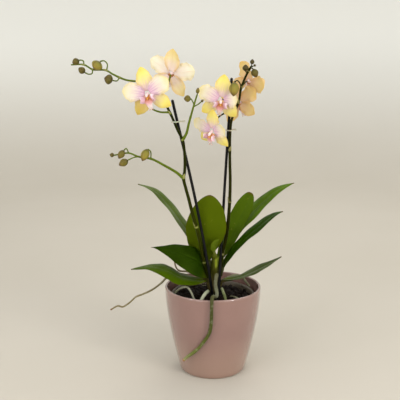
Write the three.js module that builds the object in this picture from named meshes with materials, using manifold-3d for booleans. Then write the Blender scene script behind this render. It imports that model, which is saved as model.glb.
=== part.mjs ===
// A yellow multiflora phalaenopsis orchid in a glazed pink cache pot, in millimetres, +Z up.
// The origin is the centre of the pot's flat underside. +X is the plant's right, -Y its front.
import * as THREE from 'three';
import { mergeVertices } from 'three/addons/utils/BufferGeometryUtils.js';
import Module from 'manifold-3d';

const wasm = await Module();
wasm.setup();

// ---- driving dimensions ----
const POT_HEIGHT = 121;
const POT_RIM_RADIUS = 67.5;
const POT_FOOT_RADIUS = 46.5;
const POT_WALL = 3.6;
const GROWING_POT_WALL = 1.2;
const BARK_TOP = 106;
const STAKE_RADIUS = 2;
const TOUCHING_GAP = 0.4;
const LEAF_THICKNESS = 2.2;
const TEPAL_THICKNESS = 1;

const plant = new THREE.Group();

// ---- materials ----
const plain = (color, roughness) => new THREE.MeshStandardMaterial({ color, roughness, metalness: 0 });
const MATERIALS = {
  pot: plain(0xbb8a80, 0.2),
  growingPot: plain(0x6b6250, 0.3),
  bark: plain(0x2a1d14, 0.9),
  leaf: plain(0x3f6a1c, 0.4),
  crown: plain(0x6f7d2a, 0.5),
  spike: plain(0x39471a, 0.45),
  stake: plain(0x141812, 0.35),
  clip: plain(0xb9c2a2, 0.3),
  root: plain(0x9aa08a, 0.75),
  tepal: plain(0xf2d46a, 0.6),
  lip: plain(0xc8748a, 0.55),
};

function addPiece(name, geometry, material, parent = plant) {
  const mesh = new THREE.Mesh(geometry, material);
  mesh.name = name;
  parent.add(mesh);
  return mesh;
}

// ---- shapes that several pieces share ----
const vector = ([x, y, z]) => new THREE.Vector3(x, y, z);
const smoothCurve = (points) => new THREE.CatmullRomCurve3(points.map(vector), false, 'centripetal');

// Skins a row of rings into one closed surface. A ring of one point is a pointed end.
function skin(rings) {
  const points = rings.flat();
  const starts = [];
  rings.reduce((sum, ring) => (starts.push(sum), sum + ring.length), 0);
  const faces = [];
  for (let i = 0; i + 1 < rings.length; i++) {
    const [a, b] = [rings[i].length, rings[i + 1].length];
    for (let k = 0; k < Math.max(a, b); k++) {
      const next = k + 1;
      if (a > 1) faces.push(starts[i] + k, starts[i] + (next % a), starts[i + 1] + (b > 1 ? k : 0));
      const corner = starts[i] + (a > 1 ? next % a : 0);
      if (b > 1) faces.push(corner, starts[i + 1] + (next % b), starts[i + 1] + k);
    }
  }
  for (const end of [0, rings.length - 1]) {
    const count = rings[end].length;
    if (count === 1) continue;
    for (let k = 1; k + 1 < count; k++) {
      const fan = [starts[end], starts[end] + k + 1, starts[end] + k];
      faces.push(...(end === 0 ? fan : fan.reverse()));
    }
  }
  return outward(points, faces);
}

// A geometry whose faces all point out, whichever way its rings were wound.
function outward(points, faces) {
  let volume = 0;
  for (let i = 0; i < faces.length; i += 3) {
    const [a, b, c] = [points[faces[i]], points[faces[i + 1]], points[faces[i + 2]]];
    volume += a.dot(new THREE.Vector3().crossVectors(b, c));
  }
  if (volume < 0) faces.reverse();
  return new THREE.BufferGeometry().setFromPoints(points).setIndex(faces);
}

// A round stem along a curve, whose radius may change along its length (share 0 to 1).
function stem(points, radiusAt, steps, sides = 8) {
  const curve = smoothCurve(points);
  const { normals, binormals } = curve.computeFrenetFrames(steps, false);
  const rings = [];
  for (let i = 0; i <= steps; i++) {
    const centre = curve.getPointAt(i / steps);
    const radius = radiusAt(i / steps);
    const ring = [];
    for (let k = 0; k < sides; k++) {
      const angle = (2 * Math.PI * k) / sides;
      ring.push(centre.clone()
        .addScaledVector(normals[i], radius * Math.cos(angle))
        .addScaledVector(binormals[i], radius * Math.sin(angle)));
    }
    rings.push(ring);
  }
  return skin(rings);
}

const taper = (from, to) => (share) => from + (to - from) * share;

// The width share of a leaf or a tepal along its length: a narrow base, its full width where
// the shifted share reaches a half, and a tip that is rounder the smaller the fullness is.
const bladeWidth = ({ base, shift, fullness }) => (share) =>
  Math.sin(Math.PI * (base + (1 - base) * share) ** shift) ** fullness;

// A blade is a thin lens-shaped skin along a midrib. Across points from the midrib to its left
// edge, seen from the tip with the upper face up; vee lifts both edges and curl lowers them.
function blade({ midrib, across, width, profile, thickness, vee, curl, steps, half }) {
  const curve = smoothCurve(midrib);
  const widthAt = bladeWidth(profile);
  const rings = [];
  for (let i = 0; i < steps; i++) {
    const share = Math.sin(((i / steps) * Math.PI) / 2);
    const centre = curve.getPointAt(share);
    const along = curve.getTangentAt(share);
    const side = across.clone().addScaledVector(along, -across.dot(along)).normalize();
    const up = new THREE.Vector3().crossVectors(side, along);
    const reach = (width / 2) * widthAt(share);
    const ring = [];
    for (let k = 0; k < 4 * half; k++) {
      const top = k <= 2 * half;
      const offset = top ? k / half - 1 : 3 - k / half;
      const lift = reach * (vee * Math.abs(offset) - curl * offset ** 2);
      const depth = (top ? 0.5 : -0.5) * thickness * (1 - offset ** 2);
      ring.push(centre.clone().addScaledVector(side, reach * offset).addScaledVector(up, lift + depth));
    }
    rings.push(ring);
  }
  rings.push([curve.getPointAt(1)]);
  return skin(rings);
}

// Booleans: a closed three.js geometry to a manifold solid, and back.
function solid(geometry) {
  const bare = geometry.index ? geometry.toNonIndexed() : geometry.clone();
  bare.deleteAttribute('normal');
  bare.deleteAttribute('uv');
  const merged = mergeVertices(bare, 1e-4);
  return new wasm.Manifold(new wasm.Mesh({
    numProp: 3,
    vertProperties: merged.attributes.position.array,
    triVerts: new Uint32Array(merged.index.array),
  }));
}

function geometryOf(made) {
  const mesh = made.getMesh();
  return new THREE.BufferGeometry()
    .setAttribute('position', new THREE.BufferAttribute(mesh.vertProperties, 3))
    .setIndex(new THREE.BufferAttribute(mesh.triVerts, 1));
}

const joined = (geometries) =>
  geometryOf(geometries.map(solid).reduce((all, next) => all.add(next)).simplify(0.05));
const cut = (geometry, tools) =>
  geometryOf(tools.map(solid).reduce((left, tool) => left.subtract(tool), solid(geometry)));

// A lathe about Z, from [radius, height] points.
function turned(profile, segments) {
  const geometry = new THREE.LatheGeometry(profile.map(([r, z]) => new THREE.Vector2(r, z)), segments);
  return geometry.rotateX(Math.PI / 2);
}

// ---- cache pot: a glazed shell with a convex side, a rounded rim and a flat underside ----
const potSide = new THREE.CubicBezierCurve(
  new THREE.Vector2(POT_FOOT_RADIUS, 0),
  new THREE.Vector2(56, 38),
  new THREE.Vector2(66.5, 78),
  new THREE.Vector2(POT_RIM_RADIUS, POT_HEIGHT),
);

function cachePot() {
  const footCorner = 4;
  const floorHeight = 4;
  const rimBulge = POT_WALL / 2;
  const outside = potSide.getPoints(9).map((p) => [p.x, p.y])
    .filter(([, z]) => z > footCorner && z < POT_HEIGHT - 1);
  const rim = [];
  for (let angle = 0; angle <= 180; angle += 45) {
    const turn = THREE.MathUtils.degToRad(angle);
    const radius = POT_RIM_RADIUS - rimBulge + rimBulge * Math.cos(turn);
    rim.push([radius, POT_HEIGHT - rimBulge + rimBulge * Math.sin(turn)]);
  }
  const inside = outside.map(([r, z]) => [r - POT_WALL, z])
    .filter(([, z]) => z > floorHeight + 4).reverse();
  return turned([
    [0, 0], [POT_FOOT_RADIUS - footCorner, 0], [POT_FOOT_RADIUS - 0.6, 1.4], ...outside, ...rim, ...inside,
    [POT_FOOT_RADIUS - POT_WALL - 1, floorHeight], [0, floorHeight],
  ], 48);
}
addPiece('cache_pot', cachePot(), MATERIALS.pot);

// ---- growing pot: a thin clear pot standing inside the cache pot, with drain holes in its floor ----
const GROWING_POT = { bottom: 4.4, top: 110, footRadius: 39.5, topRadius: 56.5, lip: 2.4 };

function growingPot() {
  const { bottom, top, footRadius, topRadius, lip } = GROWING_POT;
  const wall = GROWING_POT_WALL;
  const shell = turned([
    [0, bottom], [footRadius, bottom], [topRadius, top - 3], [topRadius + lip, top - 3],
    [topRadius + lip, top], [topRadius - wall, top], [footRadius - wall, bottom + wall], [0, bottom + wall],
  ], 40);
  const holes = [];
  for (let i = 0; i < 6; i++) {
    const angle = (i * Math.PI) / 3;
    holes.push(new THREE.CylinderGeometry(3, 3, 6, 8).rotateX(Math.PI / 2)
      .translate(28 * Math.cos(angle), 28 * Math.sin(angle), bottom));
  }
  return cut(shell, holes);
}
addPiece('growing_pot', growingPot(), MATERIALS.growingPot);

// ---- crown: the short upright stem that carries the leaves, rooted in the bark ----
const CROWN_AXIS = [[1, 1, 84], [1, 0, 110], [1.5, -2, 135], [2, -6, 155], [2.5, -9, 168]];
const crownRadius = (share) => 7 - 2.4 * share ** 2;

function crown() {
  const axis = smoothCurve(CROWN_AXIS);
  const shoulders = [0.5, 0.68, 0.84].map((share) => {
    const at = axis.getPointAt(share);
    const size = crownRadius(share) + 0.7;
    const lump = new THREE.SphereGeometry(size, 9, 5).rotateX(Math.PI / 2);
    return lump.scale(1, 1, 0.8).translate(at.x, at.y, at.z);
  });
  const backRoute = [[5, 2, 122], [18, 12, 126], [32, 18, 129.5], [42, 19.5, 127], [47, 18, 121],
    [53, 14, 114]];
  const backRoot = stem(backRoute, () => 1.9, 12, 6);
  return joined([stem(CROWN_AXIS, crownRadius, 6, 9), ...shoulders, backRoot]);
}
addPiece('crown_stem', crown(), MATERIALS.crown);

// ---- leaves: strap blades in two ranks, each on a midrib from the crown to its tip ----
const STRAP = { base: 0.07, shift: 1.1, fullness: 0.75 };
const PADDLE = { base: 0.06, shift: 1.3, fullness: 0.6 };
const BLUNT = { base: 0.06, shift: 1.5, fullness: 0.4 };
const POINTED = { base: 0.07, shift: 0.7, fullness: 1.3 };
const TAPERED = { base: 0.07, shift: 1.1, fullness: 0.85 };
const LEAVES = {
  leaf_left_upper: {
    midrib: [[-10, 16, 153], [-18, 20, 166], [-30.5, 22.5, 183.5], [-43.5, 24.5, 203], [-54.5, 27, 218],
      [-66.5, 30, 233], [-79.5, 33, 246.2], [-92.5, 35, 254], [-107, 38, 259]],
    across: [0.3, 1, -0.15], width: 45, profile: STRAP, vee: 0.3, curl: 0.2,
  },
  leaf_left_middle: {
    midrib: [[-9.5, -3, 138.5], [-15.5, -11, 150], [-23.5, -19, 160.5], [-38.4, -23.8, 169.4],
      [-53.9, -25, 176.2], [-67.5, -24.8, 179.6], [-76, -24, 181.2], [-85, -24, 182]],
    across: [0.15, 0.8, 0.9], width: 41.2, profile: POINTED, vee: 0.15, curl: 0.2,
  },
  leaf_left_lower: {
    midrib: [[-10, -6, 129.5], [-19, -12, 131], [-32, -19, 134.8], [-46, -25, 140.2], [-59, -30, 148.5],
      [-73, -34, 155.7], [-86, -36, 158.5], [-99, -37, 157.2], [-111, -38, 155]],
    across: [0.3, 1, 0.1], width: 31, profile: STRAP, vee: 0.15, curl: 0.25,
  },
  leaf_centre: {
    midrib: [[-9, 6.5, 152], [-12, 2.4, 166], [-12.7, -5.6, 182], [-10.8, -10.8, 197.5], [-8.6, -13, 215],
      [-6, -13, 235.5], [-4.2, -11, 252]],
    across: [-1, 0, 0], width: 55, profile: PADDLE, vee: 0.12, curl: 0.05,
  },
  leaf_right_upright: {
    midrib: [[11, 10.8, 155], [16, 14.2, 168], [23.5, 17, 184], [30, 17, 200], [37, 20, 214],
      [44.5, 22, 228], [54, 25, 249]],
    across: [-0.9, -0.35, 0.35], width: 29.5, profile: BLUNT, vee: 0.15, curl: 0.05,
  },
  leaf_right_upper: {
    midrib: [[6, 25, 149], [24, 36, 176.5], [40, 42, 199], [55, 44, 213], [66, 48, 224], [79, 51, 235.5],
      [92, 53, 245.8], [106, 55, 252.7], [119, 56, 257.5]],
    across: [0.3, -1, -0.35], width: 31, profile: TAPERED, vee: 0.25, curl: 0.2,
  },
  leaf_right_middle: {
    midrib: [[13, 9, 140], [20, 7, 153.5], [31, 5, 171.5], [44, 4, 186], [57, 3, 198], [70, 2, 209.5],
      [80, 1, 218], [88, 0, 223.5], [96.5, -1, 227]],
    across: [0.1, -1, -0.12], width: 33, profile: STRAP, vee: 0.3, curl: 0.2,
  },
  leaf_right_lower: {
    midrib: [[15, -4, 128], [24, -6, 130], [38, -7, 134], [50, -8, 139], [62, -8, 145], [75, -8, 152],
      [87, -8, 159], [95, -8, 164.5]],
    across: [0, -1, 0.05], width: 34, profile: STRAP, vee: 0.3, curl: 0.2,
  },
  leaf_young: {
    midrib: [[1.8, -14.5, 171], [0.8, -16, 178], [2.6, -17.2, 185], [8.4, -18, 192]],
    across: [-1, -0.3, 0.6], width: 8.5, profile: STRAP, vee: 0.35, curl: 0,
  },
};
for (const [name, leaf] of Object.entries(LEAVES)) {
  const across = vector(leaf.across);
  const geometry = blade({ ...leaf, across, thickness: LEAF_THICKNESS, steps: 11, half: 2 });
  addPiece(name, geometry, MATERIALS.leaf);
}

// ---- stakes: straight round canes pushed into the bark ----
const STAKES = {
  stake_left: [[8, -6, 40], [-2, -15, 121], [-23.5, -20, 243], [-54.5, -21, 380.5]],
  stake_right: [[6, -22, 40], [8.5, -10, 121], [15.5, 7, 250], [25, 20, 408.5]],
};
for (const [name, route] of Object.entries(STAKES)) {
  addPiece(name, stem(route, () => STAKE_RADIUS, 8, 8), MATERIALS.stake);
}

// ---- flower spikes: an arching stalk with side branches, flower pedicels and buds ----
// A bud hangs on its own pedicel, whose route starts on the stalk and ends at the bud's top.
const SPIKES = {
  spike_left: {
    stalk: [[-7, -8.5, 133], [-8.5, -9.5, 143], [-11.5, -11.5, 156], [-15, -14.5, 172.5],
      [-18, -17.5, 188], [-23, -21.5, 209.5], [-28.5, -25, 230], [-33.5, -27.5, 251], [-37, -27.5, 264],
      [-40, -27.5, 277.5], [-38.5, -27.5, 286], [-38, -27.5, 300], [-39, -27.5, 317.5],
      [-40.5, -27.5, 327], [-47.5, -27, 341.5], [-55.5, -26, 360], [-66.5, -23, 381], [-77, -20, 395],
      [-88, -20, 402], [-114, -22, 405.7], [-131, -22, 413], [-140, -22, 418], [-157, -22, 419],
      [-168, -22, 425], [-185, -22, 425]],
    thickness: [2.5, 0.9],
    branches: [
      { route: [[-40.5, -27.5, 277.5], [-50, -29, 286], [-64, -31, 294.5], [-81.5, -34, 304],
        [-99, -36, 307.5], [-111, -36, 312], [-131, -36, 309]], thickness: [1.8, 0.8] },
      { route: [[-40, -27.5, 329], [-36, -27.5, 336.5], [-32.5, -28, 350.5], [-26, -28, 373.5],
        [-21.5, -28, 388]],
        thickness: [1.7, 0.9] },
    ],
    pedicels: [
      [[-58, -27, 364], [-71, -30, 365], [-82, -34, 371], [-84, -38, 380], [-84, -42.3, 388.4]],
      [[-74, -21, 392], [-63, -17, 395], [-59, -10, 404], [-57, -4, 413]],
    ],
    buds: [
      { route: [[-139, -22, 418], [-138, -22, 426], [-142, -23, 430], [-147, -24, 429]],
        tip: [-155, -24, 419], width: 15 },
      { route: [[-168, -22, 425], [-169, -22, 430], [-174, -22, 431]], tip: [-183, -22, 427], width: 9 },
      { route: [[-157, -22, 419], [-158, -22, 414], [-162, -23, 413], [-167, -23, 415]],
        tip: [-175, -23, 421], width: 9 },
      { route: [[-123, -22, 407.5], [-126, -23, 404.5], [-131, -24, 405]], tip: [-142, -25, 408],
        width: 13 },
      { route: [[-82, -34, 304], [-82.5, -36, 314], [-86, -38, 317.5]], tip: [-93.5, -39, 302], width: 11 },
      { route: [[-111, -36, 312], [-114, -37, 318], [-117, -38, 316]], tip: [-124, -39, 305], width: 9 },
      { route: [[-99, -36, 307.5], [-105, -36, 306], [-112, -37, 303]], tip: [-124, -37, 296], width: 10 },
      { route: [[-129, -36, 309], [-130, -36, 309]], tip: [-136, -36, 310], width: 6 },
      { route: [[-26, -28, 374], [-28, -28.5, 379], [-30, -29, 382]], tip: [-39, -30, 382], width: 9 },
      { route: [[-26, -28, 371], [-20, -27.5, 375], [-17, -26.5, 377.5]], tip: [-13.5, -26, 380.5],
        width: 3.4 },
      { route: [[-22, -28, 386], [-21.5, -28, 388]], tip: [-20.5, -28, 396], width: 5 },
    ],
  },
  spike_right: {
    stalk: [[11, 0.5, 133], [11, 1, 143], [11.7, 2, 158], [14, 2.5, 171], [17, 2.5, 183],
      [19, 2.5, 193.5], [21.5, 2.5, 218], [23, 3, 242.5], [23.5, 4, 270], [23, 5.5, 290.5],
      [22.7, 7, 311], [23, 8.5, 331.5], [25, 10, 352], [34.6, 12, 377], [37.4, 12, 394], [44.4, 12, 412],
      [51, 12, 424]],
    thickness: [2.5, 1.3],
    branches: [],
    pedicels: [
      [[31, 11, 367], [24, 6, 374], [15, -4, 379], [10.5, -12.5, 381]],
      [[28.5, 10.5, 361], [20, 8, 362], [7, -6, 357], [-0.5, -16.5, 344]],
      [[38, 12, 396], [41, 14.5, 400], [44, 23, 402.5], [47, 31, 403.5]],
      [[33.5, 12, 374], [33.5, 17, 373], [33, 21, 374], [34, 27, 374.5]],
    ],
    buds: [
      { route: [[37.4, 12, 394], [35, -3, 401], [30, -20, 405], [26.5, -29, 403]], tip: [25, -32, 385],
        width: 13 },
      { route: [[47, 12, 417], [44, 11, 416], [43, 10, 417]], tip: [43, 9, 426], width: 8.5 },
      { route: [[49, 12, 421], [52, 10, 421], [53, 9, 420]], tip: [58, 8, 409], width: 10 },
      { route: [[51, 12, 424], [51.5, 12, 426]], tip: [52.5, 12, 433], width: 6 },
      { route: [[50.5, 12, 423], [54, 12, 424]], tip: [57, 12, 425.5], width: 3.6 },
    ],
  },
};
const PEDICEL_RADIUS = 1;

// An egg from the pedicel's end to the tip: blunt above, slightly pointed below.
function bud({ route, tip, width }) {
  const top = vector(route.at(-1));
  const length = top.distanceTo(vector(tip));
  const hanging = vector(tip).sub(top).normalize();
  const turn = new THREE.Quaternion().setFromUnitVectors(new THREE.Vector3(0, 1, 0), hanging);
  const egg = new THREE.SphereGeometry(1, 7, 6).scale(width / 2, length / 2, width / 2);
  egg.translate(0, length / 2 - 0.6, 0);
  return egg.applyQuaternion(turn).translate(top.x, top.y, top.z);
}

// A route that is grown on: its first point moves to the nearest point on any of the stalks.
function grownOn(route, stalks) {
  const start = vector(route[0]);
  const candidates = stalks.flatMap((points) => smoothCurve(points).getSpacedPoints(160));
  const closer = (best, next) => (next.distanceTo(start) < best.distanceTo(start) ? next : best);
  const nearest = candidates.reduce(closer);
  return [nearest.toArray(), ...route.slice(1)];
}

function spike({ stalk, thickness, branches, pedicels, buds }) {
  const sideStalks = branches.map(({ route }) => grownOn(route, [stalk]));
  const stalks = [stalk, ...sideStalks];
  const pieces = [stem(stalk, taper(...thickness), 2 * stalk.length, 7)];
  branches.forEach((branch, i) => pieces.push(stem(sideStalks[i], taper(...branch.thickness), 11, 6)));
  for (const route of pedicels) pieces.push(stem(grownOn(route, stalks), taper(1.3, PEDICEL_RADIUS), 6, 6));
  for (const one of buds) {
    pieces.push(stem(grownOn(one.route, stalks), () => PEDICEL_RADIUS * 0.8, 4, 5), bud(one));
  }
  return joined(pieces);
}
for (const [name, one] of Object.entries(SPIKES)) addPiece(name, spike(one), MATERIALS.spike);

// ---- clips: a thin plastic loop round a spike and its stake, with two finger tabs ----
// The loop is a flat band with round ends, drawn from the stake to the stalk it holds.
function clip({ stake, stalk, tabs }) {
  const reach = 3.4;
  const wall = 1;
  const height = 2.2;
  const span = new THREE.Vector2(stalk[0] - stake[0], stalk[1] - stake[1]);
  const stadium = (radius) => {
    const shape = new THREE.Shape();
    shape.absarc(0, 0, radius, Math.PI / 2, (3 * Math.PI) / 2, false);
    shape.absarc(span.length(), 0, radius, -Math.PI / 2, Math.PI / 2, false);
    return shape;
  };
  const loop = stadium(reach + wall);
  loop.holes.push(stadium(reach));
  const band = new THREE.ExtrudeGeometry(loop, { depth: height, bevelEnabled: false, curveSegments: 6 });
  const [length, turn] = [8, span.angle()];
  const fingers = [0.5, 1.5].map((rise, i) => new THREE.BoxGeometry(length, wall, 1)
    .translate(reach + wall / 2 + length / 2, 0, 0).rotateZ(tabs - turn + i * 0.22).translate(0, 0, rise));
  return joined([band, ...fingers]).rotateZ(turn).translate(...stake);
}
const CLIPS = {
  clip_left: { stake: [-48.6, -20.5, 351], stalk: [-51.6, -26.5, 351], tabs: -0.3 },
  clip_right: { stake: [21.3, 14.9, 337], stalk: [23.4, 8.9, 337], tabs: 0.2 },
};
for (const [name, one] of Object.entries(CLIPS)) addPiece(name, clip(one), MATERIALS.clip);

// ---- aerial roots: round, unbranched and slowly tapering ----
const ROOTS = {
  root_over_rim: {
    route: [[5.5, -16, 143], [4, -19, 135], [3, -22, 129], [4, -27, 123.5], [5, -34, 119.5],
      [4, -44, 119], [0, -56, 123], [-1.5, -64, 124.6], [-2.5, -70, 122.5], [-2.8, -71.5, 115],
      [-3, -70.9, 103], [-3.5, -69, 90], [-5, -67.5, 79], [-7.5, -65.5, 71.5], [-13, -63.5, 62.5],
      [-20, -60.5, 52], [-28.5, -57, 43], [-36, -52.5, 35.5], [-41, -49.5, 29]],
    thickness: [2.6, 2.2], steps: 32,
  },
  root_left_aerial: {
    route: [[-9, 7, 128], [-17, 8, 127], [-27, 11, 128], [-37, 13, 131], [-47, 11, 134], [-55, 7, 134.5],
      [-62, 3, 132], [-67, 1, 129.5], [-72, -1, 124.5], [-86, -5, 115], [-98, -8, 110],
      [-108, -10, 106.5], [-113, -11, 102], [-119, -12, 97], [-127, -12, 92.5], [-133, -12, 94],
      [-144, -12, 88]],
    thickness: [1.9, 1.1], steps: 32,
  },
  root_silver: {
    route: [[-55, -14, 112], [-45, -19, 122], [-36, -26, 126], [-31, -31, 122], [-28, -36, 117],
      [-26, -39, 113], [-23, -41, 110]],
    thickness: [1.6, 1.4], steps: 14,
  },
  root_pale: {
    route: [[-6, -19, 119], [-12, -30, 116.5], [-18, -44, 110.5]],
    thickness: [2.5, 2.2], steps: 6,
  },
  root_green: {
    route: [[11.5, -17, 122], [14, -27, 119], [17.5, -40, 110.5]],
    thickness: [2.2, 1.9], steps: 6,
  },
};
for (const [name, { route, thickness, steps }] of Object.entries(ROOTS)) {
  addPiece(name, stem(route, taper(...thickness), steps, 8), MATERIALS.root);
}

// ---- bark: a low mound of potting bark, bored where the crown, the stakes and a root go in ----
function bark() {
  const { bottom, top, footRadius, topRadius } = GROWING_POT;
  const clear = GROWING_POT_WALL + TOUCHING_GAP;
  const low = bottom + clear;
  const lowRadius = footRadius - clear;
  const edge = BARK_TOP - 3;
  const edgeRadius = lowRadius + ((topRadius - footRadius) * (edge - low)) / (top - 3 - bottom) - 1.5;
  const outline = [[0, low], [lowRadius, low], [edgeRadius, edge], [30, BARK_TOP], [0, BARK_TOP + 1]];
  const mound = turned(outline, 40);
  const bores = [
    stem(CROWN_AXIS, () => 7.6, 6, 12).translate(0, 0, -0.8),
    ...Object.values(STAKES).map((route) => {
      const [foot, next] = route.map(vector);
      const below = foot.clone().addScaledVector(next.sub(foot).normalize(), -TOUCHING_GAP);
      return stem([below.toArray(), ...route], () => STAKE_RADIUS + 2 * TOUCHING_GAP, 10, 8);
    }),
  ];
  return cut(mound, bores);
}
addPiece('bark_mix', bark(), MATERIALS.bark);

// ---- flowers: three sepals behind, two broad petals over them, and the lip with its column ----
// A flower faces its own +Z with the dorsal sepal along +Y. Yaw turns it from the front (-Y) towards
// +X, pitch lifts its face, and roll turns it anticlockwise as seen from in front.
const FLOWERS = {
  flower_left_front: { centre: [-84.5, -45.5, 389], yaw: -10, pitch: -10, roll: 15, size: 34 },
  flower_left_back: { centre: [-56.5, 1, 414], yaw: 158, pitch: 14, roll: 15, size: 35 },
  flower_right_top: {
    centre: [9.5, -16, 380.5], yaw: -4, pitch: -18, roll: -8, size: 33,
    shaped: { right_petal: { angle: 8, length: 0.66 } },
  },
  flower_right_low: {
    centre: [-2, -21, 339.5], yaw: -36, pitch: -24, roll: -12, size: 30,
      shaped: { right_petal: { length: 0.72 } },
  },
  flower_right_side: {
    centre: [49, 33, 403.5], yaw: 125, pitch: 0, roll: 33, size: 34,
    shaped: { dorsal_sepal: { length: 0.7, bow: -0.5 }, left_sepal: { length: 0.8 } },
  },
  flower_right_rear: { centre: [35.5, 30, 374.5], yaw: 148, pitch: 0, roll: -17, size: 32 },
};
const SEPAL = { base: 0.12, shift: 1.1, fullness: 0.7 };
const PETAL = { base: 0.1, shift: 1.35, fullness: 0.62 };
const TEPALS = [
  { suffix: 'dorsal_sepal', angle: 90, start: 3.4, length: 1, width: 0.66, layer: -0.9,
    profile: SEPAL, bow: -0.1 },
  { suffix: 'left_sepal', angle: 225, start: 4.7, length: 0.98, width: 0.6, layer: -0.9,
    profile: SEPAL, bow: -0.1 },
  { suffix: 'right_sepal', angle: -45, start: 4.7, length: 0.98, width: 0.6, layer: -0.9,
    profile: SEPAL, bow: -0.1 },
  { suffix: 'left_petal', angle: 160, start: 3.4, length: 0.98, width: 0.82, layer: 0.8,
    profile: PETAL, bow: 0.02 },
  { suffix: 'right_petal', angle: 20, start: 3.4, length: 0.98, width: 0.82, layer: 0.8,
    profile: PETAL, bow: 0.02 },
];

// A tepal's midrib runs out from the flower's centre and bows forward or back along its length.
function tepal({ angle, start, length, width, layer, profile, bow }, size) {
  const turn = THREE.MathUtils.degToRad(angle);
  const end = length * size;
  const midrib = [0, 0.33, 0.67, 1].map((share) => {
    const out = start + (end - start) * share;
    return [out * Math.cos(turn), out * Math.sin(turn), layer + bow * end * share ** 2];
  });
  const across = new THREE.Vector3(-Math.sin(turn), Math.cos(turn), 0);
  const form = { vee: 0, curl: layer > 0 ? -0.04 : 0.04, steps: 7, half: 2 };
  const thickness = TEPAL_THICKNESS;
  return blade({ midrib, across: across.negate(), width: width * size, profile, thickness, ...form });
}

// The lip hangs below the column: a pointed middle lobe, and two side lobes that stand up beside it.
function lip(size) {
  const waist = (share) => 2 - 0.4 * Math.sin(Math.PI * share);
  const column = stem([[0, 0, -1.2], [0, -0.5, 3], [0, -1, 6], [0, -2, 8.6]], waist, 4, 8);
  const middle = blade({
    midrib: [[0, -1.5, 2.6], [0, -0.24 * size, 6.5], [0, -0.42 * size, 7.5], [0, -0.6 * size, 4.5]],
    across: new THREE.Vector3(1, 0, 0), width: 0.36 * size,
    profile: { base: 0.25, shift: 1, fullness: 0.8 },
    thickness: 1.6, vee: 0.1, curl: 0.1, steps: 5, half: 2,
  });
  const lobe = (hand) => blade({
    midrib: [[hand * 0.8, -3, 3], [hand * 0.12 * size, -6, 5.5], [hand * 0.24 * size, -5, 9],
      [hand * 0.2 * size, -0.5, 12]],
    across: new THREE.Vector3(0, 1, 0), width: 0.26 * size,
    profile: { base: 0.2, shift: 1.2, fullness: 0.6 }, thickness: 1.2, vee: 0, curl: 0.1, steps: 5, half: 1,
  });
  return joined([column, middle, lobe(-1), lobe(1)]);
}

for (const [name, { centre, yaw, pitch, roll, size, shaped = {} }] of Object.entries(FLOWERS)) {
  const flower = new THREE.Group();
  const [turn, lift] = [yaw, pitch].map(THREE.MathUtils.degToRad);
  const [away, level] = [Math.sin(turn) * Math.cos(lift), -Math.cos(turn) * Math.cos(lift)];
  const facing = new THREE.Vector3(away, level, Math.sin(lift));
  const right = new THREE.Vector3().crossVectors(new THREE.Vector3(0, 0, 1), facing).normalize();
  const up = new THREE.Vector3().crossVectors(facing, right);
  flower.quaternion.setFromRotationMatrix(new THREE.Matrix4().makeBasis(right, up, facing));
  flower.rotateZ(THREE.MathUtils.degToRad(roll));
  flower.position.copy(vector(centre));
  for (const part of TEPALS) {
    const form = { ...part, ...shaped[part.suffix] };
    addPiece(`${name}_${part.suffix}`, tepal(form, size), MATERIALS.tepal, flower);
  }
  addPiece(`${name}_lip`, lip(size), MATERIALS.lip, flower);
  plant.add(flower);
}

export default plant;
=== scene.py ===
# A potted moth orchid with yellow flowers, in metres, in the frame of its CAD model: +Z up, -Y the front.
import math

import bmesh
import bpy
import numpy as np
from mathutils import Matrix, Vector


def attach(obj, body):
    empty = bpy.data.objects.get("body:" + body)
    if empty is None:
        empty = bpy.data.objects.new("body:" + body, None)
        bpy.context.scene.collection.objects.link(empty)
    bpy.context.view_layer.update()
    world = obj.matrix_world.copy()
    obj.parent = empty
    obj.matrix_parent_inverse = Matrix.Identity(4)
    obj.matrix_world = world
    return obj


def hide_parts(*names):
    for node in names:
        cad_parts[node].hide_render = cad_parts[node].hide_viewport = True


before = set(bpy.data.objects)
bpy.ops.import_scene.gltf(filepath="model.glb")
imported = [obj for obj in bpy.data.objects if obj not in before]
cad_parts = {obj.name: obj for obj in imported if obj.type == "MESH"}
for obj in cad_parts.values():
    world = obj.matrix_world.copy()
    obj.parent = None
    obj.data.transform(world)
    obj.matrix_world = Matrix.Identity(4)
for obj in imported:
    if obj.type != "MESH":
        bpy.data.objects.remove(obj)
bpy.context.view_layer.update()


# ---- Studio ----
# A wide matt floor in warm off-white lies under the pot and sweeps up into a round wall, with painted light
# making it paler towards the top.
# A large soft panel lights the plant from the front right, one fills the shade, one stands behind, and two
# narrow strips draw gloss on the pot. All is in metres.
class Signal:
    """A socket in a paint's node tree. Arithmetic on it adds Math nodes."""

    def __init__(self, paint, socket):
        self.paint = paint
        self.socket = socket

    def _math(self, operation, first, second):
        return self.paint.node("Math", {"operation": operation}, {0: first, 1: second})

    def __add__(self, other):
        return self._math("ADD", self, other)

    def __sub__(self, other):
        return self._math("SUBTRACT", self, other)

    def __rsub__(self, other):
        return self._math("SUBTRACT", other, self)

    def __mul__(self, other):
        return self._math("MULTIPLY", self, other)

    def __abs__(self):
        return self._math("ABSOLUTE", self, 0.0)

    __radd__ = __add__
    __rmul__ = __mul__


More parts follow.
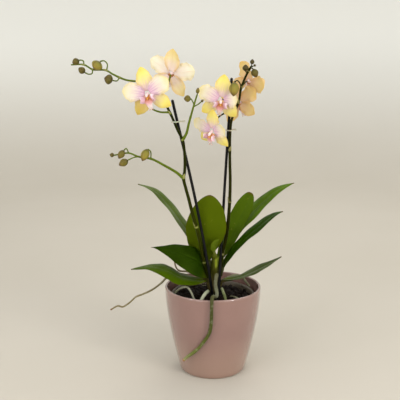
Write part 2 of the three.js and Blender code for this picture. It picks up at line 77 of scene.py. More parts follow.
class Paint:
    """A material and its node tree. Values that are the same all over go on the shader's own sockets."""

    def __init__(self, name, **constants):
        self.material = bpy.data.materials.new(name)
        self.material.use_nodes = True
        self.tree = self.material.node_tree
        self.surface = self.tree.nodes["Principled BSDF"]
        for words, value in constants.items():
            self.surface.inputs[SHADER_SOCKETS[words]].default_value = plain(value)

    def node(self, kind, settings=None, sockets=None, output=0):
        made = self.tree.nodes.new("ShaderNode" + kind)
        for key, value in (settings or {}).items():
            if key == "stops":
                ramp = made.color_ramp
                for _ in value[2:]:
                    ramp.elements.new(0.5)
                for element, (position, shade) in zip(ramp.elements, value):
                    element.position = position
                    element.color = colour(shade)
            else:
                setattr(made, key, value)
        for key, value in (sockets or {}).items():
            if isinstance(value, Signal):
                self.tree.links.new(value.socket, made.inputs[key])
            else:
                made.inputs[key].default_value = plain(value)
        return Signal(self, made.outputs[output])

    def place(self):
        """Across (-1 to 1 or round), along (0 to 1) and side (1 above, -1 below) on a grown piece."""
        spot = self.node("Attribute", {"attribute_name": "place"}, output="Vector")
        return [self.axis(spot, number) for number in range(3)]

    def axis(self, vector, number):
        return self.node("SeparateXYZ", None, {0: vector}, output=number)

    def spot(self):
        return self.node("TexCoord", output="Object")

    def stretched(self, vector, scale):
        return self.node("VectorMath", {"operation": "MULTIPLY"}, {0: vector, 1: scale})

    def vector(self, x, y, z):
        return self.node("CombineXYZ", None, {0: x, 1: y, 2: z})

    def noise(self, vector, scale, detail=3.0, roughness=0.5, distortion=0.0):
        sockets = {"Vector": vector, "Scale": scale, "Detail": detail, "Roughness": roughness}
        return self.node("TexNoise", None, {**sockets, "Distortion": distortion})

    def span(self, value, low, high, to_low=0.0, to_high=1.0):
        sockets = {0: value, 1: low, 2: high, 3: to_low, 4: to_high}
        return self.node("MapRange", {"interpolation_type": "SMOOTHSTEP"}, sockets)

    def mix(self, factor, first, second):
        return self.node("Mix", {"data_type": "RGBA"}, {0: factor, 6: first, 7: second}, output=2)

    def ramp(self, value, stops):
        return self.node("ValToRGB", {"stops": stops}, {0: value})

    def bump(self, height, depth, strength=1.0):
        sockets = {"Height": height, "Distance": depth, "Strength": strength}
        self.feed("Normal", self.node("Bump", None, sockets))

    def feed(self, socket, signal):
        self.tree.links.new(signal.socket, self.surface.inputs[socket])


SHADER_SOCKETS = {
    "roughness": "Roughness", "ior": "IOR", "coat": "Coat Weight", "coat_roughness": "Coat Roughness",
    "subsurface": "Subsurface Weight", "subsurface_scale": "Subsurface Scale",
    "subsurface_radius": "Subsurface Radius", "specular": "Specular IOR Level", "tint": "Specular Tint",
}


def colour(code, times=1.0):
    """A linear colour from the six-figure code on a colour card, made darker or lighter by a factor."""
    parts = [int(code[i:i + 2], 16) / 255 for i in (0, 2, 4)]
    linear = [p / 12.92 if p < 0.04045 else ((p + 0.055) / 1.055) ** 2.4 for p in parts]
    return (*(min(value * times, 1.0) for value in linear), 1)


def plain(value):
    """A socket's value, where a colour may be given by its code."""
    return colour(value) if isinstance(value, str) else value


FLOOR_RADIUS, SWEEP_RADIUS, SWEEP_HEIGHT, FLOOR_SIDES = 1.5, 1.3, 2.6, 96
floor_paint = Paint("floor_matt", roughness=0.95, specular=0.1)
weave = floor_paint.noise(floor_paint.spot(), 260.0, 2.0)
drift = floor_paint.noise(floor_paint.spot(), 3.0, 2.0)
ground = floor_paint.mix(drift, "beb8ac", "c4beb4")
# Painted light: the wall turns paler with height, standing in for more light falling on it higher up.
painted_light_upwards = floor_paint.span(floor_paint.axis(floor_paint.spot(), 2), -0.08, 0.65)
floor_paint.feed("Base Color", floor_paint.mix(painted_light_upwards, ground, "f6f6f2"))
floor_paint.bump(weave, 0.0003, 0.3)
sweep = [(FLOOR_RADIUS * share, 0.0) for share in np.linspace(0.1, 1.0, 10)]
for angle in np.linspace(0.1, math.pi / 2, 15):
    sweep.append((FLOOR_RADIUS + SWEEP_RADIUS * math.sin(angle), SWEEP_RADIUS * (1 - math.cos(angle))))
sweep.append((FLOOR_RADIUS + SWEEP_RADIUS, SWEEP_HEIGHT))
turns = np.linspace(0, 2 * math.pi, FLOOR_SIDES, endpoint=False)
points = [(0.0, 0.0, 0.0)] + [(r * math.cos(a), r * math.sin(a), z) for r, z in sweep for a in turns]
faces = [(0, 1 + k, 1 + (k + 1) % FLOOR_SIDES) for k in range(FLOOR_SIDES)]
for low in range(1, 1 + (len(sweep) - 1) * FLOOR_SIDES, FLOOR_SIDES):
    high = low + FLOOR_SIDES
    for k in range(FLOOR_SIDES):
        n = (k + 1) % FLOOR_SIDES
        faces.append((low + k, high + k, high + n, low + n))
floor_mesh = bpy.data.meshes.new("studio_floor")
floor_mesh.from_pydata(points, [], faces)
floor_mesh.polygons.foreach_set("use_smooth", [True] * len(floor_mesh.polygons))
floor_mesh.materials.append(floor_paint.material)
floor = bpy.data.objects.new("studio_floor", floor_mesh)
bpy.context.scene.collection.objects.link(floor)

sky = bpy.data.worlds.new("studio_sky")
sky.use_nodes = True
sky.node_tree.nodes["Background"].inputs["Color"].default_value = colour("f4f4f2")
sky.node_tree.nodes["Background"].inputs["Strength"].default_value = 0.97
bpy.context.scene.world = sky


def light_panel(name, place, target, size, power, shade):
    lamp = bpy.data.lights.new(name, "AREA")
    lamp.shape = "RECTANGLE"
    lamp.size, lamp.size_y = size
    lamp.energy = power
    lamp.color = colour(shade)[:3]
    panel = bpy.data.objects.new(name, lamp)
    panel.location = place
    panel.rotation_euler = (Vector(target) - Vector(place)).to_track_quat("-Z", "Y").to_euler()
    bpy.context.scene.collection.objects.link(panel)


light_panel("window_right", (1.1, -1.3, 1.25), (0, 0, 0.25), (0.9, 1.2), 12.0, "fffaf2")
light_panel("fill_left", (-1.0, -1.5, 1.0), (0, 0, 0.3), (0.5, 1.4), 7.6, "fbfaff")
light_panel("strip_right", (0.62, -0.62, 0.30), (0, 0, 0.08), (0.05, 0.70), 1.9, "ffffff")
light_panel("strip_left", (-0.66, -0.50, 0.30), (0, 0, 0.08), (0.04, 0.70), 1.3, "ffffff")
light_panel("back_top", (0.3, 1.3, 1.6), (0, 0, 0.3), (1.2, 0.8), 9.0, "fffaf2")

eye = bpy.data.cameras.new("front_view")
eye.sensor_width = 36.0
eye.lens = 58.6
camera = bpy.data.objects.new("front_view", eye)
camera.location = (-0.0181, -0.8814, 0.4107)
camera.rotation_euler = (math.radians(79.22), 0, 0)
bpy.context.scene.collection.objects.link(camera)
bpy.context.scene.camera = camera
bpy.context.scene.view_settings.view_transform = "Standard"


# ---- Cover pot ----
# A slip-cast pot in white clay under a glossy dusty-pink glaze, with no drain hole. The glaze is thin and
# paler on the rim, where the paleness is also a painted highlight, and the lower side is painted lighter as
# painted light from the floor. The glaze gathers near the foot, and is wiped off the ring that it stands on.
MM = 0.001


def smooth_profile(points, rows):
    """Points on a cubic curve from its four control points, in millimetres."""
    a, b, c, d = (np.array(p, float) for p in points)
    t = np.linspace(0, 1, rows)[:, None]
    return (1 - t) ** 3 * a + 3 * (1 - t) ** 2 * t * b + 3 * (1 - t) * t ** 2 * c + t ** 3 * d


def arc(centre, radius, start, end, rows):
    angles = np.radians(np.linspace(start, end, rows))
    return [(centre[0] + radius * math.cos(a), centre[1] + radius * math.sin(a)) for a in angles]


def mesh_object(name, shell, paint):
    """A smooth object in the model's frame from vertices, faces and places, which its paint can follow."""
    points, faces, places = shell
    mesh = bpy.data.meshes.new(name)
    mesh.from_pydata([tuple(p) for p in points], [], faces)
    outward = bmesh.new()
    outward.from_mesh(mesh)
    bmesh.ops.recalc_face_normals(outward, faces=outward.faces)
    outward.to_mesh(mesh)
    outward.free()
    if places is not None:
        layer = mesh.attributes.new("place", "FLOAT_VECTOR", "POINT")
        layer.data.foreach_set("vector", np.asarray(places, np.float32).ravel())
    mesh.polygons.foreach_set("use_smooth", [True] * len(mesh.polygons))
    mesh.materials.append(paint.material)
    made = bpy.data.objects.new(name, mesh)
    bpy.context.scene.collection.objects.link(made)
    return made


def fit(piece, node=None):
    """Fixes a finished piece to the plant's root body and hides the CAD node that it stands for, where one is
    given.
    """
    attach(piece, "root")
    if node:
        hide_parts(node)


def skin(rings, places, closed=False):
    """Joins rings of equal length into a shell: vertices, faces and places. The ends close in a point,
    or on each other where closed is given."""
    count, sides = len(rings), len(rings[0])
    points = [p for ring in rings for p in ring]
    spots = [p for ring in places for p in ring]
    faces = []
    for i in range(count - (0 if closed else 1)):
        j = (i + 1) % count
        for k in range(sides):
            n = (k + 1) % sides
            faces.append((i * sides + k, i * sides + n, j * sides + n, j * sides + k))
    if not closed:
        for row in (0, count - 1):
            pole = len(points)
            points.append(np.mean(rings[row], axis=0))
            spots.append((0.0, places[row][0][1], places[row][0][2]))
            faces.extend((row * sides + k, row * sides + (k + 1) % sides, pole) for k in range(sides))
    return points, faces, spots


def lathe(profile, segments):
    """Turns a profile of [radius, height] in millimetres about the upright axis. Its ends lie on the axis."""
    angles = np.linspace(0, 2 * math.pi, segments, endpoint=False)
    turned = [[(r * MM * math.cos(a), r * MM * math.sin(a), z * MM) for a in angles] for r, z in profile]
    lengths = np.linspace(0, 1, len(profile))
    return skin(turned, [[(0, s, 0)] * segments for s in lengths])


POT_HEIGHT, POT_RIM, POT_FOOT, POT_WALL = 121.0, 67.5, 46.5, 3.6
side = smooth_profile([(POT_FOOT, 0), (56, 38), (66.5, 78), (POT_RIM, POT_HEIGHT)], 60)
outside = [(r, z) for r, z in side if 3.2 < z < POT_HEIGHT - 2.2]
inside = [(r - POT_WALL, z) for r, z in side if 9 < z < POT_HEIGHT - 2.2][::-1]
foot = [(0.02, 0.9), (36, 0.9), (39.2, 0.7), (40, 0.15), (41, 0.02), (43.6, 0.02), (45.2, 0.35),
        (46.6, 1.5)]
inner_foot = [(46.4, 6.6), (44.2, 4.9), (41, 4.15), (34, 4), (0.02, 4)]
profile = foot + outside + arc((POT_RIM - 1.75, POT_HEIGHT - 1.75), 1.72, -10, 190, 14) + inside + inner_foot
glaze = Paint("dusty_pink_glaze", roughness=0.14, ior=1.5, coat=0.8, coat_roughness=0.04)
spot = glaze.spot()
height = glaze.axis(spot, 2)
cloud = glaze.noise(spot, 22.0, 4.0, 0.55)
speck = glaze.span(glaze.noise(spot, 900.0, 2.0), 0.66, 0.74)
body = glaze.mix(cloud, "876760", "91716a")
rim = glaze.span(height, 0.1180, 0.1206)
pooled = glaze.span(height, 0.010, 0.0016)
# The paler rim is partly thinner glaze and partly a painted highlight along its edge.
body = glaze.mix(rim * 0.4, body, "988078")
# Painted light: the lower side is made lighter, standing in for light thrown up from the floor.
body = glaze.mix(glaze.span(height, 0.075, 0.012) * 0.5, body, "a88c7a")
body = glaze.mix(pooled * 0.5, body, "8f7062")
body = glaze.mix(speck * 0.22, body, "76574f")
bare = glaze.span(height, 0.0011, 0.0004)
glaze.feed("Base Color", glaze.mix(bare, body, "d9c8b4"))
glaze.feed("Roughness", glaze.span(bare + cloud * 0.12, 0.0, 1.0, 0.11, 0.8))
glaze.bump(glaze.noise(spot, 120.0, 2.0) + glaze.noise(spot, 9.0, 1.0) * 2.0, 0.00006, 0.6)
fit(mesh_object("glazed_cover_pot", lathe(profile, 144), glaze), "cache_pot")


# ---- Growing pot ----
# A thin smoky plastic nursery pot that stands inside the cover pot. Its wall tapers to the foot, its lip is
# rolled, and six drain holes are punched in its floor.
GROWING_FOOT, WALL_SPREAD, WALL_START, WALL_HEIGHT = 39.5, 17.0, 5.4, 101.0
wall_rows = np.linspace(0, 1, 26)
outer_wall = [(GROWING_FOOT + WALL_SPREAD * s, WALL_START + WALL_HEIGHT * s) for s in wall_rows]
rolled = [(57.2, 107.1), (58.4, 107.0), (58.9, 107.8), (58.9, 109.0), (58.3, 109.8), (57, 109.95),
          (55.8, 109.6), (55.3, 108)]
inner_wall = [(r - 1.2, z + 0.6) for r, z in outer_wall][::-1]
shell_profile = [(0.02, 4.4), (38.5, 4.4)] + outer_wall + rolled + inner_wall[1:] + [(37.6, 5.6), (0.02, 5.6)]
plastic = Paint("smoky_plastic", roughness=0.28, ior=1.46)
spot = plastic.spot()
haze = plastic.noise(spot, 35.0, 3.0)
plastic.feed("Base Color", plastic.mix(haze, "4d4638", "73695a"))
plastic.feed("Alpha", plastic.span(haze, 0.2, 0.8, 0.62, 0.85))
plastic.bump(plastic.noise(spot, 300.0, 2.0), 0.0001, 0.3)
growing = mesh_object("growing_pot_clear", lathe(shell_profile, 96), plastic)
HOLES, HOLE_RING, HOLE_RADIUS = 6, 0.028, 0.003
drills = bmesh.new()
for turn in range(HOLES):
    angle = 2 * math.pi * turn / HOLES
    at = Matrix.Translation((HOLE_RING * math.cos(angle), HOLE_RING * math.sin(angle), 0.005))
    bmesh.ops.create_cone(drills, cap_ends=True, segments=20, radius1=HOLE_RADIUS, radius2=HOLE_RADIUS,
                          depth=0.004, matrix=at)
drill_mesh = bpy.data.meshes.new("drain_hole_drills")
drills.to_mesh(drill_mesh)
drills.free()
drill = bpy.data.objects.new("drain_hole_drills", drill_mesh)
bpy.context.scene.collection.objects.link(drill)


def baked(made):
    """Turns an object's modifiers into its plain mesh."""
    bpy.context.view_layer.update()
    plain = bpy.data.meshes.new_from_object(made.evaluated_get(bpy.context.evaluated_depsgraph_get()))
    made.modifiers.clear()
    old = made.data
    made.data = plain
    bpy.data.meshes.remove(old)


holes = growing.modifiers.new("drain_holes", "BOOLEAN")
holes.operation = "DIFFERENCE"
holes.solver = "EXACT"
holes.object = drill
baked(growing)
bpy.data.objects.remove(drill)
fit(growing, "growing_pot")


# ---- Bark ----
# Coarse chips of pine bark, nearly black where they are damp, loose on a low mound of the same mix.
# The chips are scattered over the mound and turned at random, and lie on one another.
def scatter_tree(paint):
    """Geometry Nodes: chips scattered over a mound, each a flat rough block with its own turn and size."""
    tree = bpy.data.node_groups.new("bark_scatter", "GeometryNodeTree")
    wires = tree.interface
    wires.new_socket("Mound", in_out="INPUT", socket_type="NodeSocketGeometry")
    sizes = {"Chips per square metre": 52000.0, "Chip length": 0.0105, "Chip width": 0.0065,
             "Chip thickness": 0.003}
    for name, value in sizes.items():
        wires.new_socket(name, in_out="INPUT", socket_type="NodeSocketFloat").default_value = value
    wires.new_socket("Chips", in_out="OUTPUT", socket_type="NodeSocketGeometry")

    def add(kind, settings=None, sockets=None):
        made = tree.nodes.new(kind)
        for key, value in (settings or {}).items():
            setattr(made, key, value)
        for key, value in (sockets or {}).items():
            if hasattr(value, "is_output"):
                tree.links.new(value, made.inputs[key])
            else:
                made.inputs[key].default_value = value
        return made

    given = add("NodeGroupInput").outputs
    scatter = add("GeometryNodeDistributePointsOnFaces", {"distribute_method": "RANDOM"},
                  {"Mesh": given["Mound"], "Density": given["Chips per square metre"], "Seed": 7})
    size = add("ShaderNodeCombineXYZ", None,
               {0: given["Chip length"], 1: given["Chip width"], 2: given["Chip thickness"]})
    block = add("GeometryNodeMeshCube", None,
                {"Size": size.outputs[0], "Vertices X": 4, "Vertices Y": 3, "Vertices Z": 2})
    ragged = add("ShaderNodeTexNoise", {"noise_dimensions": "3D"}, {"Scale": 330.0, "Detail": 1.0})
    centred = add("ShaderNodeVectorMath", {"operation": "SUBTRACT"},
                  {0: ragged.outputs["Color"], 1: (0.5, 0.5, 0.5)})
    shift = add("ShaderNodeVectorMath", {"operation": "SCALE"}, {0: centred.outputs[0], "Scale": 0.0062})
    rough = add("GeometryNodeSetPosition", None,
                {"Geometry": block.outputs["Mesh"], "Offset": shift.outputs[0]})
    turn = add("FunctionNodeRandomValue", {"data_type": "FLOAT_VECTOR"},
               {0: (-0.55, -0.55, 0.0), 1: (0.55, 0.55, 6.283), "Seed": 11})
    grow = add("FunctionNodeRandomValue", {"data_type": "FLOAT_VECTOR"},
               {0: (0.5, 0.6, 0.5), 1: (1.35, 1.3, 1.3), "Seed": 5})
    chips = add("GeometryNodeInstanceOnPoints", None,
                {"Points": scatter.outputs["Points"], "Instance": rough.outputs[0],
                 "Rotation": turn.outputs["Value"], "Scale": grow.outputs["Value"]})
    both = add("GeometryNodeJoinGeometry")
    tree.links.new(chips.outputs[0], both.inputs[0])
    tree.links.new(given["Mound"], both.inputs[0])
    whole = add("GeometryNodeRealizeInstances", None, {0: both.outputs[0]})
    finish = add("GeometryNodeSetMaterial", None, {"Geometry": whole.outputs[0], "Material": paint.material})
    tree.links.new(finish.outputs[0], add("NodeGroupOutput").inputs["Chips"])
    return tree


bark_paint = Paint("damp_pine_bark", roughness=0.85, specular=0.12)
spot = bark_paint.spot()
patch = bark_paint.noise(spot, 70.0, 3.0)
grain = bark_paint.noise(bark_paint.stretched(spot, (1.0, 2.4, 2.4)), 420.0, 4.0, 0.65)
bark_paint.feed("Base Color", bark_paint.mix(
    bark_paint.span(grain, 0.42, 0.78), bark_paint.mix(patch, "070504", "150d09"), "2e1f15"))
bark_paint.feed("Roughness", bark_paint.span(patch, 0.3, 0.7, 0.6, 0.95))
bark_paint.bump(grain, 0.0012, 0.9)
rings = [(1.0, 106.6), (12, 106.4), (24, 105.9), (34, 104.9), (43, 103.4), (50.5, 101.2)]
bed_profile = [(0.02, 106.8)] + rings + [(49.0, 94.0), (0.02, 94.0)]
bark = mesh_object("bark_chips", (*lathe(bed_profile[::-1], 48)[:2], None), bark_paint)
bed = bmesh.new()
bed.from_mesh(bark.data)
for corner in bed.verts:
    if corner.co.z > 0.1 and corner.co.xy.length < 0.050:
        corner.co.z += 0.0012 * math.sin(corner.co.x * 410) * math.cos(corner.co.y * 370)
bed.to_mesh(bark.data)
bed.free()
scattering = bark.modifiers.new("scatter", "NODES")
scattering.node_group = scatter_tree(bark_paint)
for entry in scattering.node_group.interface.items_tree:
    if entry.in_out == "INPUT" and entry.name == "Chip length":
        scattering[entry.identifier] = 0.0115
baked(bark)
fit(bark, "bark_mix")


# ---- Roots ----
# Thick round aerial roots under a spongy silver skin that turns green where it is wet. One hangs over the
# rim and down the front, one reaches out to the left, and short ones bend back into the bark.
class Route:
    """A smooth curve through points in millimetres, kept in metres and followed by its share of length."""

    def __init__(self, points, samples=20):
        p = np.array(points, float) * MM
        p = np.vstack([2 * p[0] - p[1], p, 2 * p[-1] - p[-2]])
        t = np.linspace(0, 1, samples, endpoint=False)[:, None]
        walk = []
        for a, b, c, d in zip(p, p[1:], p[2:], p[3:]):
            before, here, after = (np.linalg.norm(v - u) ** 0.5 for u, v in ((a, b), (b, c), (c, d)))
            leave = ((b - a) / before - (c - a) / (before + here) + (c - b) / here) * here
            arrive = ((c - b) / here - (d - b) / (here + after) + (d - c) / after) * here
            squared, cubed = 3 * (c - b) - 2 * leave - arrive, 2 * (b - c) + leave + arrive
            walk.append(b + leave * t + squared * t ** 2 + cubed * t ** 3)
        self.points = np.vstack(walk + [p[-2][None]])
        self.reach = np.concatenate([[0], np.cumsum(np.linalg.norm(np.diff(self.points, axis=0), axis=1))])
        self.length = self.reach[-1]

    def at(self, share):
        spots = np.clip(share, 0, 1) * self.length
        return np.stack([np.interp(spots, self.reach, self.points[:, k]) for k in range(3)], axis=-1)

    def along(self, share):
        ahead = self.at(np.asarray(share) + 0.005) - self.at(np.asarray(share) - 0.005)
        return ahead / np.linalg.norm(ahead, axis=-1, keepdims=True)

    def nearest(self, point):
        """The share of the length at which the route passes closest to a point in metres."""
        return self.reach[np.argmin(np.linalg.norm(self.points - np.array(point), axis=1))] / self.length


def tube(route, radius, rows, sides, across=(0.31, 0.17, 0.93), mark=lambda share: 0.0):
    """A stem with domed ends. Radius, in millimetres, follows the share of length and the angle; mark is
    kept in the place attribute's third number."""
    ends = np.array([0.0, 0.1, 0.35, 0.7, 1.0]) * radius(0.5, 0.0) * MM / route.length
    shares = np.unique(np.concatenate([np.linspace(0, 1, rows), ends, 1 - ends]))
    points, ahead = route.at(shares), route.along(shares)
    angles = np.linspace(0, 2 * math.pi, sides, endpoint=False)
    first = np.array(across, float)
    rings, places = [], []
    for share, point, onward in zip(shares, points, ahead):
        first = first - onward * first.dot(onward)
        first /= np.linalg.norm(first)
        second = np.cross(onward, first)
        from_end = min(share, 1 - share) * route.length
        ring, place = [], []
        for angle in angles:
            size = radius(share, angle) * MM
            size *= math.sqrt(max(1 - (1 - min(from_end / size, 1)) ** 2, 0.004))
            ring.append(point + size * (math.cos(angle) * first + math.sin(angle) * second))
            place.append((math.cos(angle), share, mark(share)))
        rings.append(ring)
        places.append(place)
    return skin(rings, places)


def together(shells):
    """Puts several shells into one: vertices, faces, places."""
    points, faces, places = [], [], []
    for some_points, some_faces, some_places in shells:
        faces += [tuple(i + len(points) for i in face) for face in some_faces]
        points += list(some_points)
        places += list(some_places)
    return points, faces, places


def root_paint(name, stops, tip):
    """Velamen: silver to green by the share of length, finely pitted, with a waxy growing tip."""
    paint = Paint(name, roughness=0.7, specular=0.15)
    _, along, _ = paint.place()
    spot = paint.spot()
    skin_tone = paint.ramp(along, stops)
    patch = paint.noise(spot, 160.0, 4.0, 0.6)
    flaky = paint.noise(spot, 900.0, 2.0)
    tone = paint.mix(paint.span(patch, 0.48, 0.72) * 0.3, skin_tone, "bcbca4")
    tone = paint.mix(paint.span(patch, 0.46, 0.3) * 0.5, tone, "4a4a34")
    paint.feed("Base Color", paint.mix(paint.span(along, 0.975, 0.99), tone, colour(tip)))
    paint.feed("Roughness", paint.span(patch, 0.3, 0.7, 0.5, 0.85))
    paint.bump(flaky + patch * 1.5, 0.0004, 0.6)
    return paint


def lumpy(start, end, seed, depth=0.07):
    """A radius that tapers from start to end and swells a little here and there."""
    draws = np.random.default_rng(seed).uniform(0, 2 * math.pi, 6)

    def radius(share, angle):
        swell = math.sin(23 * share + draws[0]) + 0.7 * math.sin(51 * share + draws[1])
        swell += 0.5 * math.sin(angle + 17 * share + draws[2])
        return (start + (end - start) * share) * (1 + depth * 0.45 * swell)
    return radius


FRONT_ROOT = [[5.5, -16, 143], [4, -19, 135], [3, -22, 129], [4, -27, 123.5], [5, -34, 119.5],
    [4, -44, 119], [0, -56, 123], [-1.5, -64, 124.6], [-2.5, -70, 122.5], [-2.8, -71.5, 115],
    [-3, -70.9, 103], [-3.5, -69, 90], [-5, -67.5, 79], [-7.5, -65.5, 71.5], [-13, -63.5, 62.5],
    [-20, -60.5, 52], [-28.5, -57, 43], [-36, -52.5, 35.5], [-41, -49.5, 29]]
LEFT_ROOT = [[-9, 7, 128], [-17, 8, 127], [-27, 11, 128], [-37, 13, 131], [-47, 11, 134], [-55, 7, 134.5],
    [-62, 3, 132], [-67, 1, 129.5], [-72, -1, 124.5], [-86, -5, 115], [-98, -8, 110], [-108, -10, 106.5],
    [-113, -11, 102], [-119, -12, 97], [-127, -12, 92.5], [-133, -12, 94], [-144, -12, 88]]
# name: (CAD node, route, radii at both ends, rings, colours along it, colour of the tip), in millimetres
ROOTS = {
    "front_root": (
        "root_over_rim", FRONT_ROOT, (2.6, 2.2), 110,
        [(0.0, "5c5c42"), (0.24, "70725c"), (0.33, "4a4a2a"), (0.5, "40441a"), (0.75, "525a22"),
         (0.92, "6c7438"), (1.0, "a09a72")],
        "9a6228"),
    "left_aerial_root": (
        "root_left_aerial", LEFT_ROOT, (1.9, 1.1), 110, [(0.0, "7c7a58"), (0.5, "7e765a"), (1.0, "766a48")],
        "6f4c2a"),
    "silver_root": (
        "root_silver",
        [[-55, -14, 112], [-45, -19, 122], [-36, -26, 126], [-31, -31, 122], [-28, -36, 117],
         [-26, -39, 113], [-23, -41, 110]],
        (1.6, 1.4), 50, [(0.0, "76775f"), (0.5, "94957f"), (1.0, "767664")], "767664"),
    "pale_root": (
        "root_pale", [[-6, -19, 119], [-12, -30, 116.5], [-18, -44, 110.5]], (2.5, 2.2), 40,
        [(0.0, "7c8468"), (0.5, "aeb49a"), (1.0, "a2a78e")], "a2a78e"),
    "green_root": (
        "root_green", [[11.5, -17, 122], [14, -27, 119], [17.5, -40, 110.5]], (2.2, 1.9), 40,
        [(0.0, "5c6440"), (0.5, "727a50"), (1.0, "5e683c")], "5e683c"),
}
for seed, (name, (node, points, (start, end), rows, stops, tip)) in enumerate(ROOTS.items()):
    shell = tube(Route(points), lumpy(start * 0.97, end * 0.97, seed + 3), rows, 20)
    fit(mesh_object(name, shell, root_paint(name + "_skin", stops, tip)), node)

# name: (route, radii at both ends)
SMALL_ROOTS = {
    "behind_root": (
        [[5, 2, 122], [18, 12, 126], [32, 18, 129.5], [42, 19.5, 127], [47, 18, 121], [53, 14, 114]],
        1.7, 1.5),
    "buried_root_right": ([[24, -12, 108], [33, -20, 108.5], [41, -29, 105]], 1.4, 1.2),
    "buried_root_back": ([[4, 16, 110], [-4, 30, 109], [-16, 41, 105]], 1.6, 1.4),
}
small_skin = root_paint("small_root_skin", [(0.0, "55533a"), (0.5, "7c7a60"), (1.0, "6a6850")], "8a8870")
for seed, (name, (points, start, end)) in enumerate(SMALL_ROOTS.items()):
    shell = tube(Route(points), lumpy(start, end, seed + 30, 0.1), 36, 14)
    fit(mesh_object(name, shell, small_skin))

old_stub = Paint("dried_stub", roughness=0.85)
spot = old_stub.spot()
fibre = old_stub.noise(old_stub.stretched(spot, (3.0, 3.0, 0.6)), 500.0, 3.0)
old_stub.feed("Base Color", old_stub.mix(fibre, "5a4a34", "9c8c70"))
old_stub.bump(fibre, 0.0005, 0.7)
stub_route = Route([[-4, -1, 131], [-14, 0, 134], [-25, 2, 137], [-37, 3, 139.5], [-48, 3, 141],
                    [-52, 3, 146], [-54.5, 3, 158]])
fit(mesh_object("dried_root_stub", tube(stub_route, lumpy(1.9, 1.0, 77, 0.2), 70, 14), old_stub))


# ---- Crown ----
# The short upright stem of the plant. The folded foot of each leaf clasps it, and the dry brown sheaths
# of old leaves stay round its lower part.
def profile_share(base, shift, fullness):
    return lambda share: np.sin(math.pi * (base + (1 - base) * share) ** shift) ** fullness


STRAP = profile_share(0.07, 1.1, 0.75)
PADDLE = profile_share(0.06, 1.3, 0.6)
BLUNT = profile_share(0.06, 1.5, 0.4)
POINTED = profile_share(0.07, 0.7, 1.3)
TAPERED = profile_share(0.07, 1.1, 0.85)
# name: (midrib, direction across, width, outline, vee, curl, (upper colour, lower colour, edge colour))
LEAVES = {
    "leaf_left_upper": (
        [[-10, 16, 153], [-18, 20, 166], [-30.5, 22.5, 183.5], [-43.5, 24.5, 203], [-54.5, 27, 218],
         [-66.5, 30, 233], [-79.5, 33, 246.2], [-92.5, 35, 254], [-107, 38, 259]],
        (0.3, 1, -0.15), 45, STRAP, 0.3, 0.2, ("4a6004", "62761a", "70781a")),
    "leaf_left_middle": (
        [[-9.5, -3, 138.5], [-15.5, -11, 150], [-23.5, -19, 160.5], [-38.4, -23.8, 169.4],
         [-53.9, -25, 176.2], [-67.5, -24.8, 179.6], [-76, -24, 181.2], [-85, -24, 182]],
        (0.15, 0.8, 0.9), 41.2, POINTED, 0.15, 0.2, ("1f3600", "364c08", "2e3a04")),
    "leaf_left_lower": (
        [[-10, -6, 129.5], [-19, -12, 131], [-32, -19, 134.8], [-46, -25, 140.2], [-59, -30, 148.5],
         [-73, -34, 155.7], [-86, -36, 158.5], [-99, -37, 157.2], [-111, -38, 155]],
        (0.3, 1, 0.1), 31, STRAP, 0.15, 0.25, ("3c5200", "4a5c08", "544e08")),
    "leaf_centre": (
        [[-9, 6.5, 152], [-12, 2.4, 166], [-12.7, -5.6, 182], [-10.8, -10.8, 197.5], [-8.6, -13, 215],
         [-6, -13, 235.5], [-4.2, -11, 252]],
        (-1, 0, 0), 55, PADDLE, 0.12, 0.05, ("3e5200", "4c5c06", "4c4604")),
    "leaf_right_upright": (
        [[11, 10.8, 155], [16, 14.2, 168], [23.5, 17, 184], [30, 17, 200], [37, 20, 214], [44.5, 22, 228],
         [54, 25, 249]],
        (-0.9, -0.35, 0.35), 29.5, BLUNT, 0.15, 0.05, ("355200", "48600c", "484e08")),
    "leaf_right_upper": (
        [[6, 25, 149], [24, 36, 176.5], [40, 42, 199], [55, 44, 213], [66, 48, 224], [79, 51, 235.5],
         [92, 53, 245.8], [106, 55, 252.7], [119, 56, 257.5]],
        (0.3, -1, -0.35), 31, TAPERED, 0.25, 0.2, ("486404", "5a7010", "606810")),
    "leaf_right_middle": (
        [[13, 9, 140], [20, 7, 153.5], [31, 5, 171.5], [44, 4, 186], [57, 3, 198], [70, 2, 209.5],
         [80, 1, 218], [88, 0, 223.5], [96.5, -1, 227]],
        (0.1, -1, -0.12), 33, STRAP, 0.3, 0.2, ("264200", "384e06", "242802")),
    "leaf_right_lower": (
        [[15, -4, 128], [24, -6, 130], [38, -7, 134], [50, -8, 139], [62, -8, 145], [75, -8, 152],
         [87, -8, 159], [95, -8, 164.5]],
        (0, -1, 0.05), 34, STRAP, 0.3, 0.2, ("364800", "445606", "443a06")),
    "leaf_young": (
        [[1.8, -14.5, 171], [0.8, -16, 178], [2.6, -17.2, 185], [8.4, -18, 192]],
        (-1, -0.3, 0.6), 8.5, STRAP, 0.35, 0.0, ("3e5404", "566814", "5c6414")),
}
CROWN_AXIS = Route([[1, 1, 96], [1, 0, 110], [1.5, -2, 135], [2, -6, 155], [2.5, -9, 168]])


def sheath(midrib, across, width, drop):
    """A clasping leaf foot: an oval tube to the leaf's base from the crown's axis, drop millimetres lower."""
    base, onward = np.array(midrib[0], float), np.array(midrib[1], float) - np.array(midrib[0], float)
    onward /= np.linalg.norm(onward)
    axis = CROWN_AXIS.points[np.argmin(abs(CROWN_AXIS.points[:, 2] / MM - (base[2] - drop)))] / MM
    out = base - axis
    route = Route([axis, axis + out * [0.45, 0.45, 0.3], base - onward * 1.5, base + onward * 5])
    half = 0.34 * width / 2

    def radius(share, angle):
        wide, thick = 5.5 + (half - 5.5) * share, 4.6 - 3.2 * share ** 0.7
        return 1 / math.hypot(math.cos(angle) / wide, math.sin(angle) / thick)
    return tube(route, radius, 18, 22, across, lambda share: share)


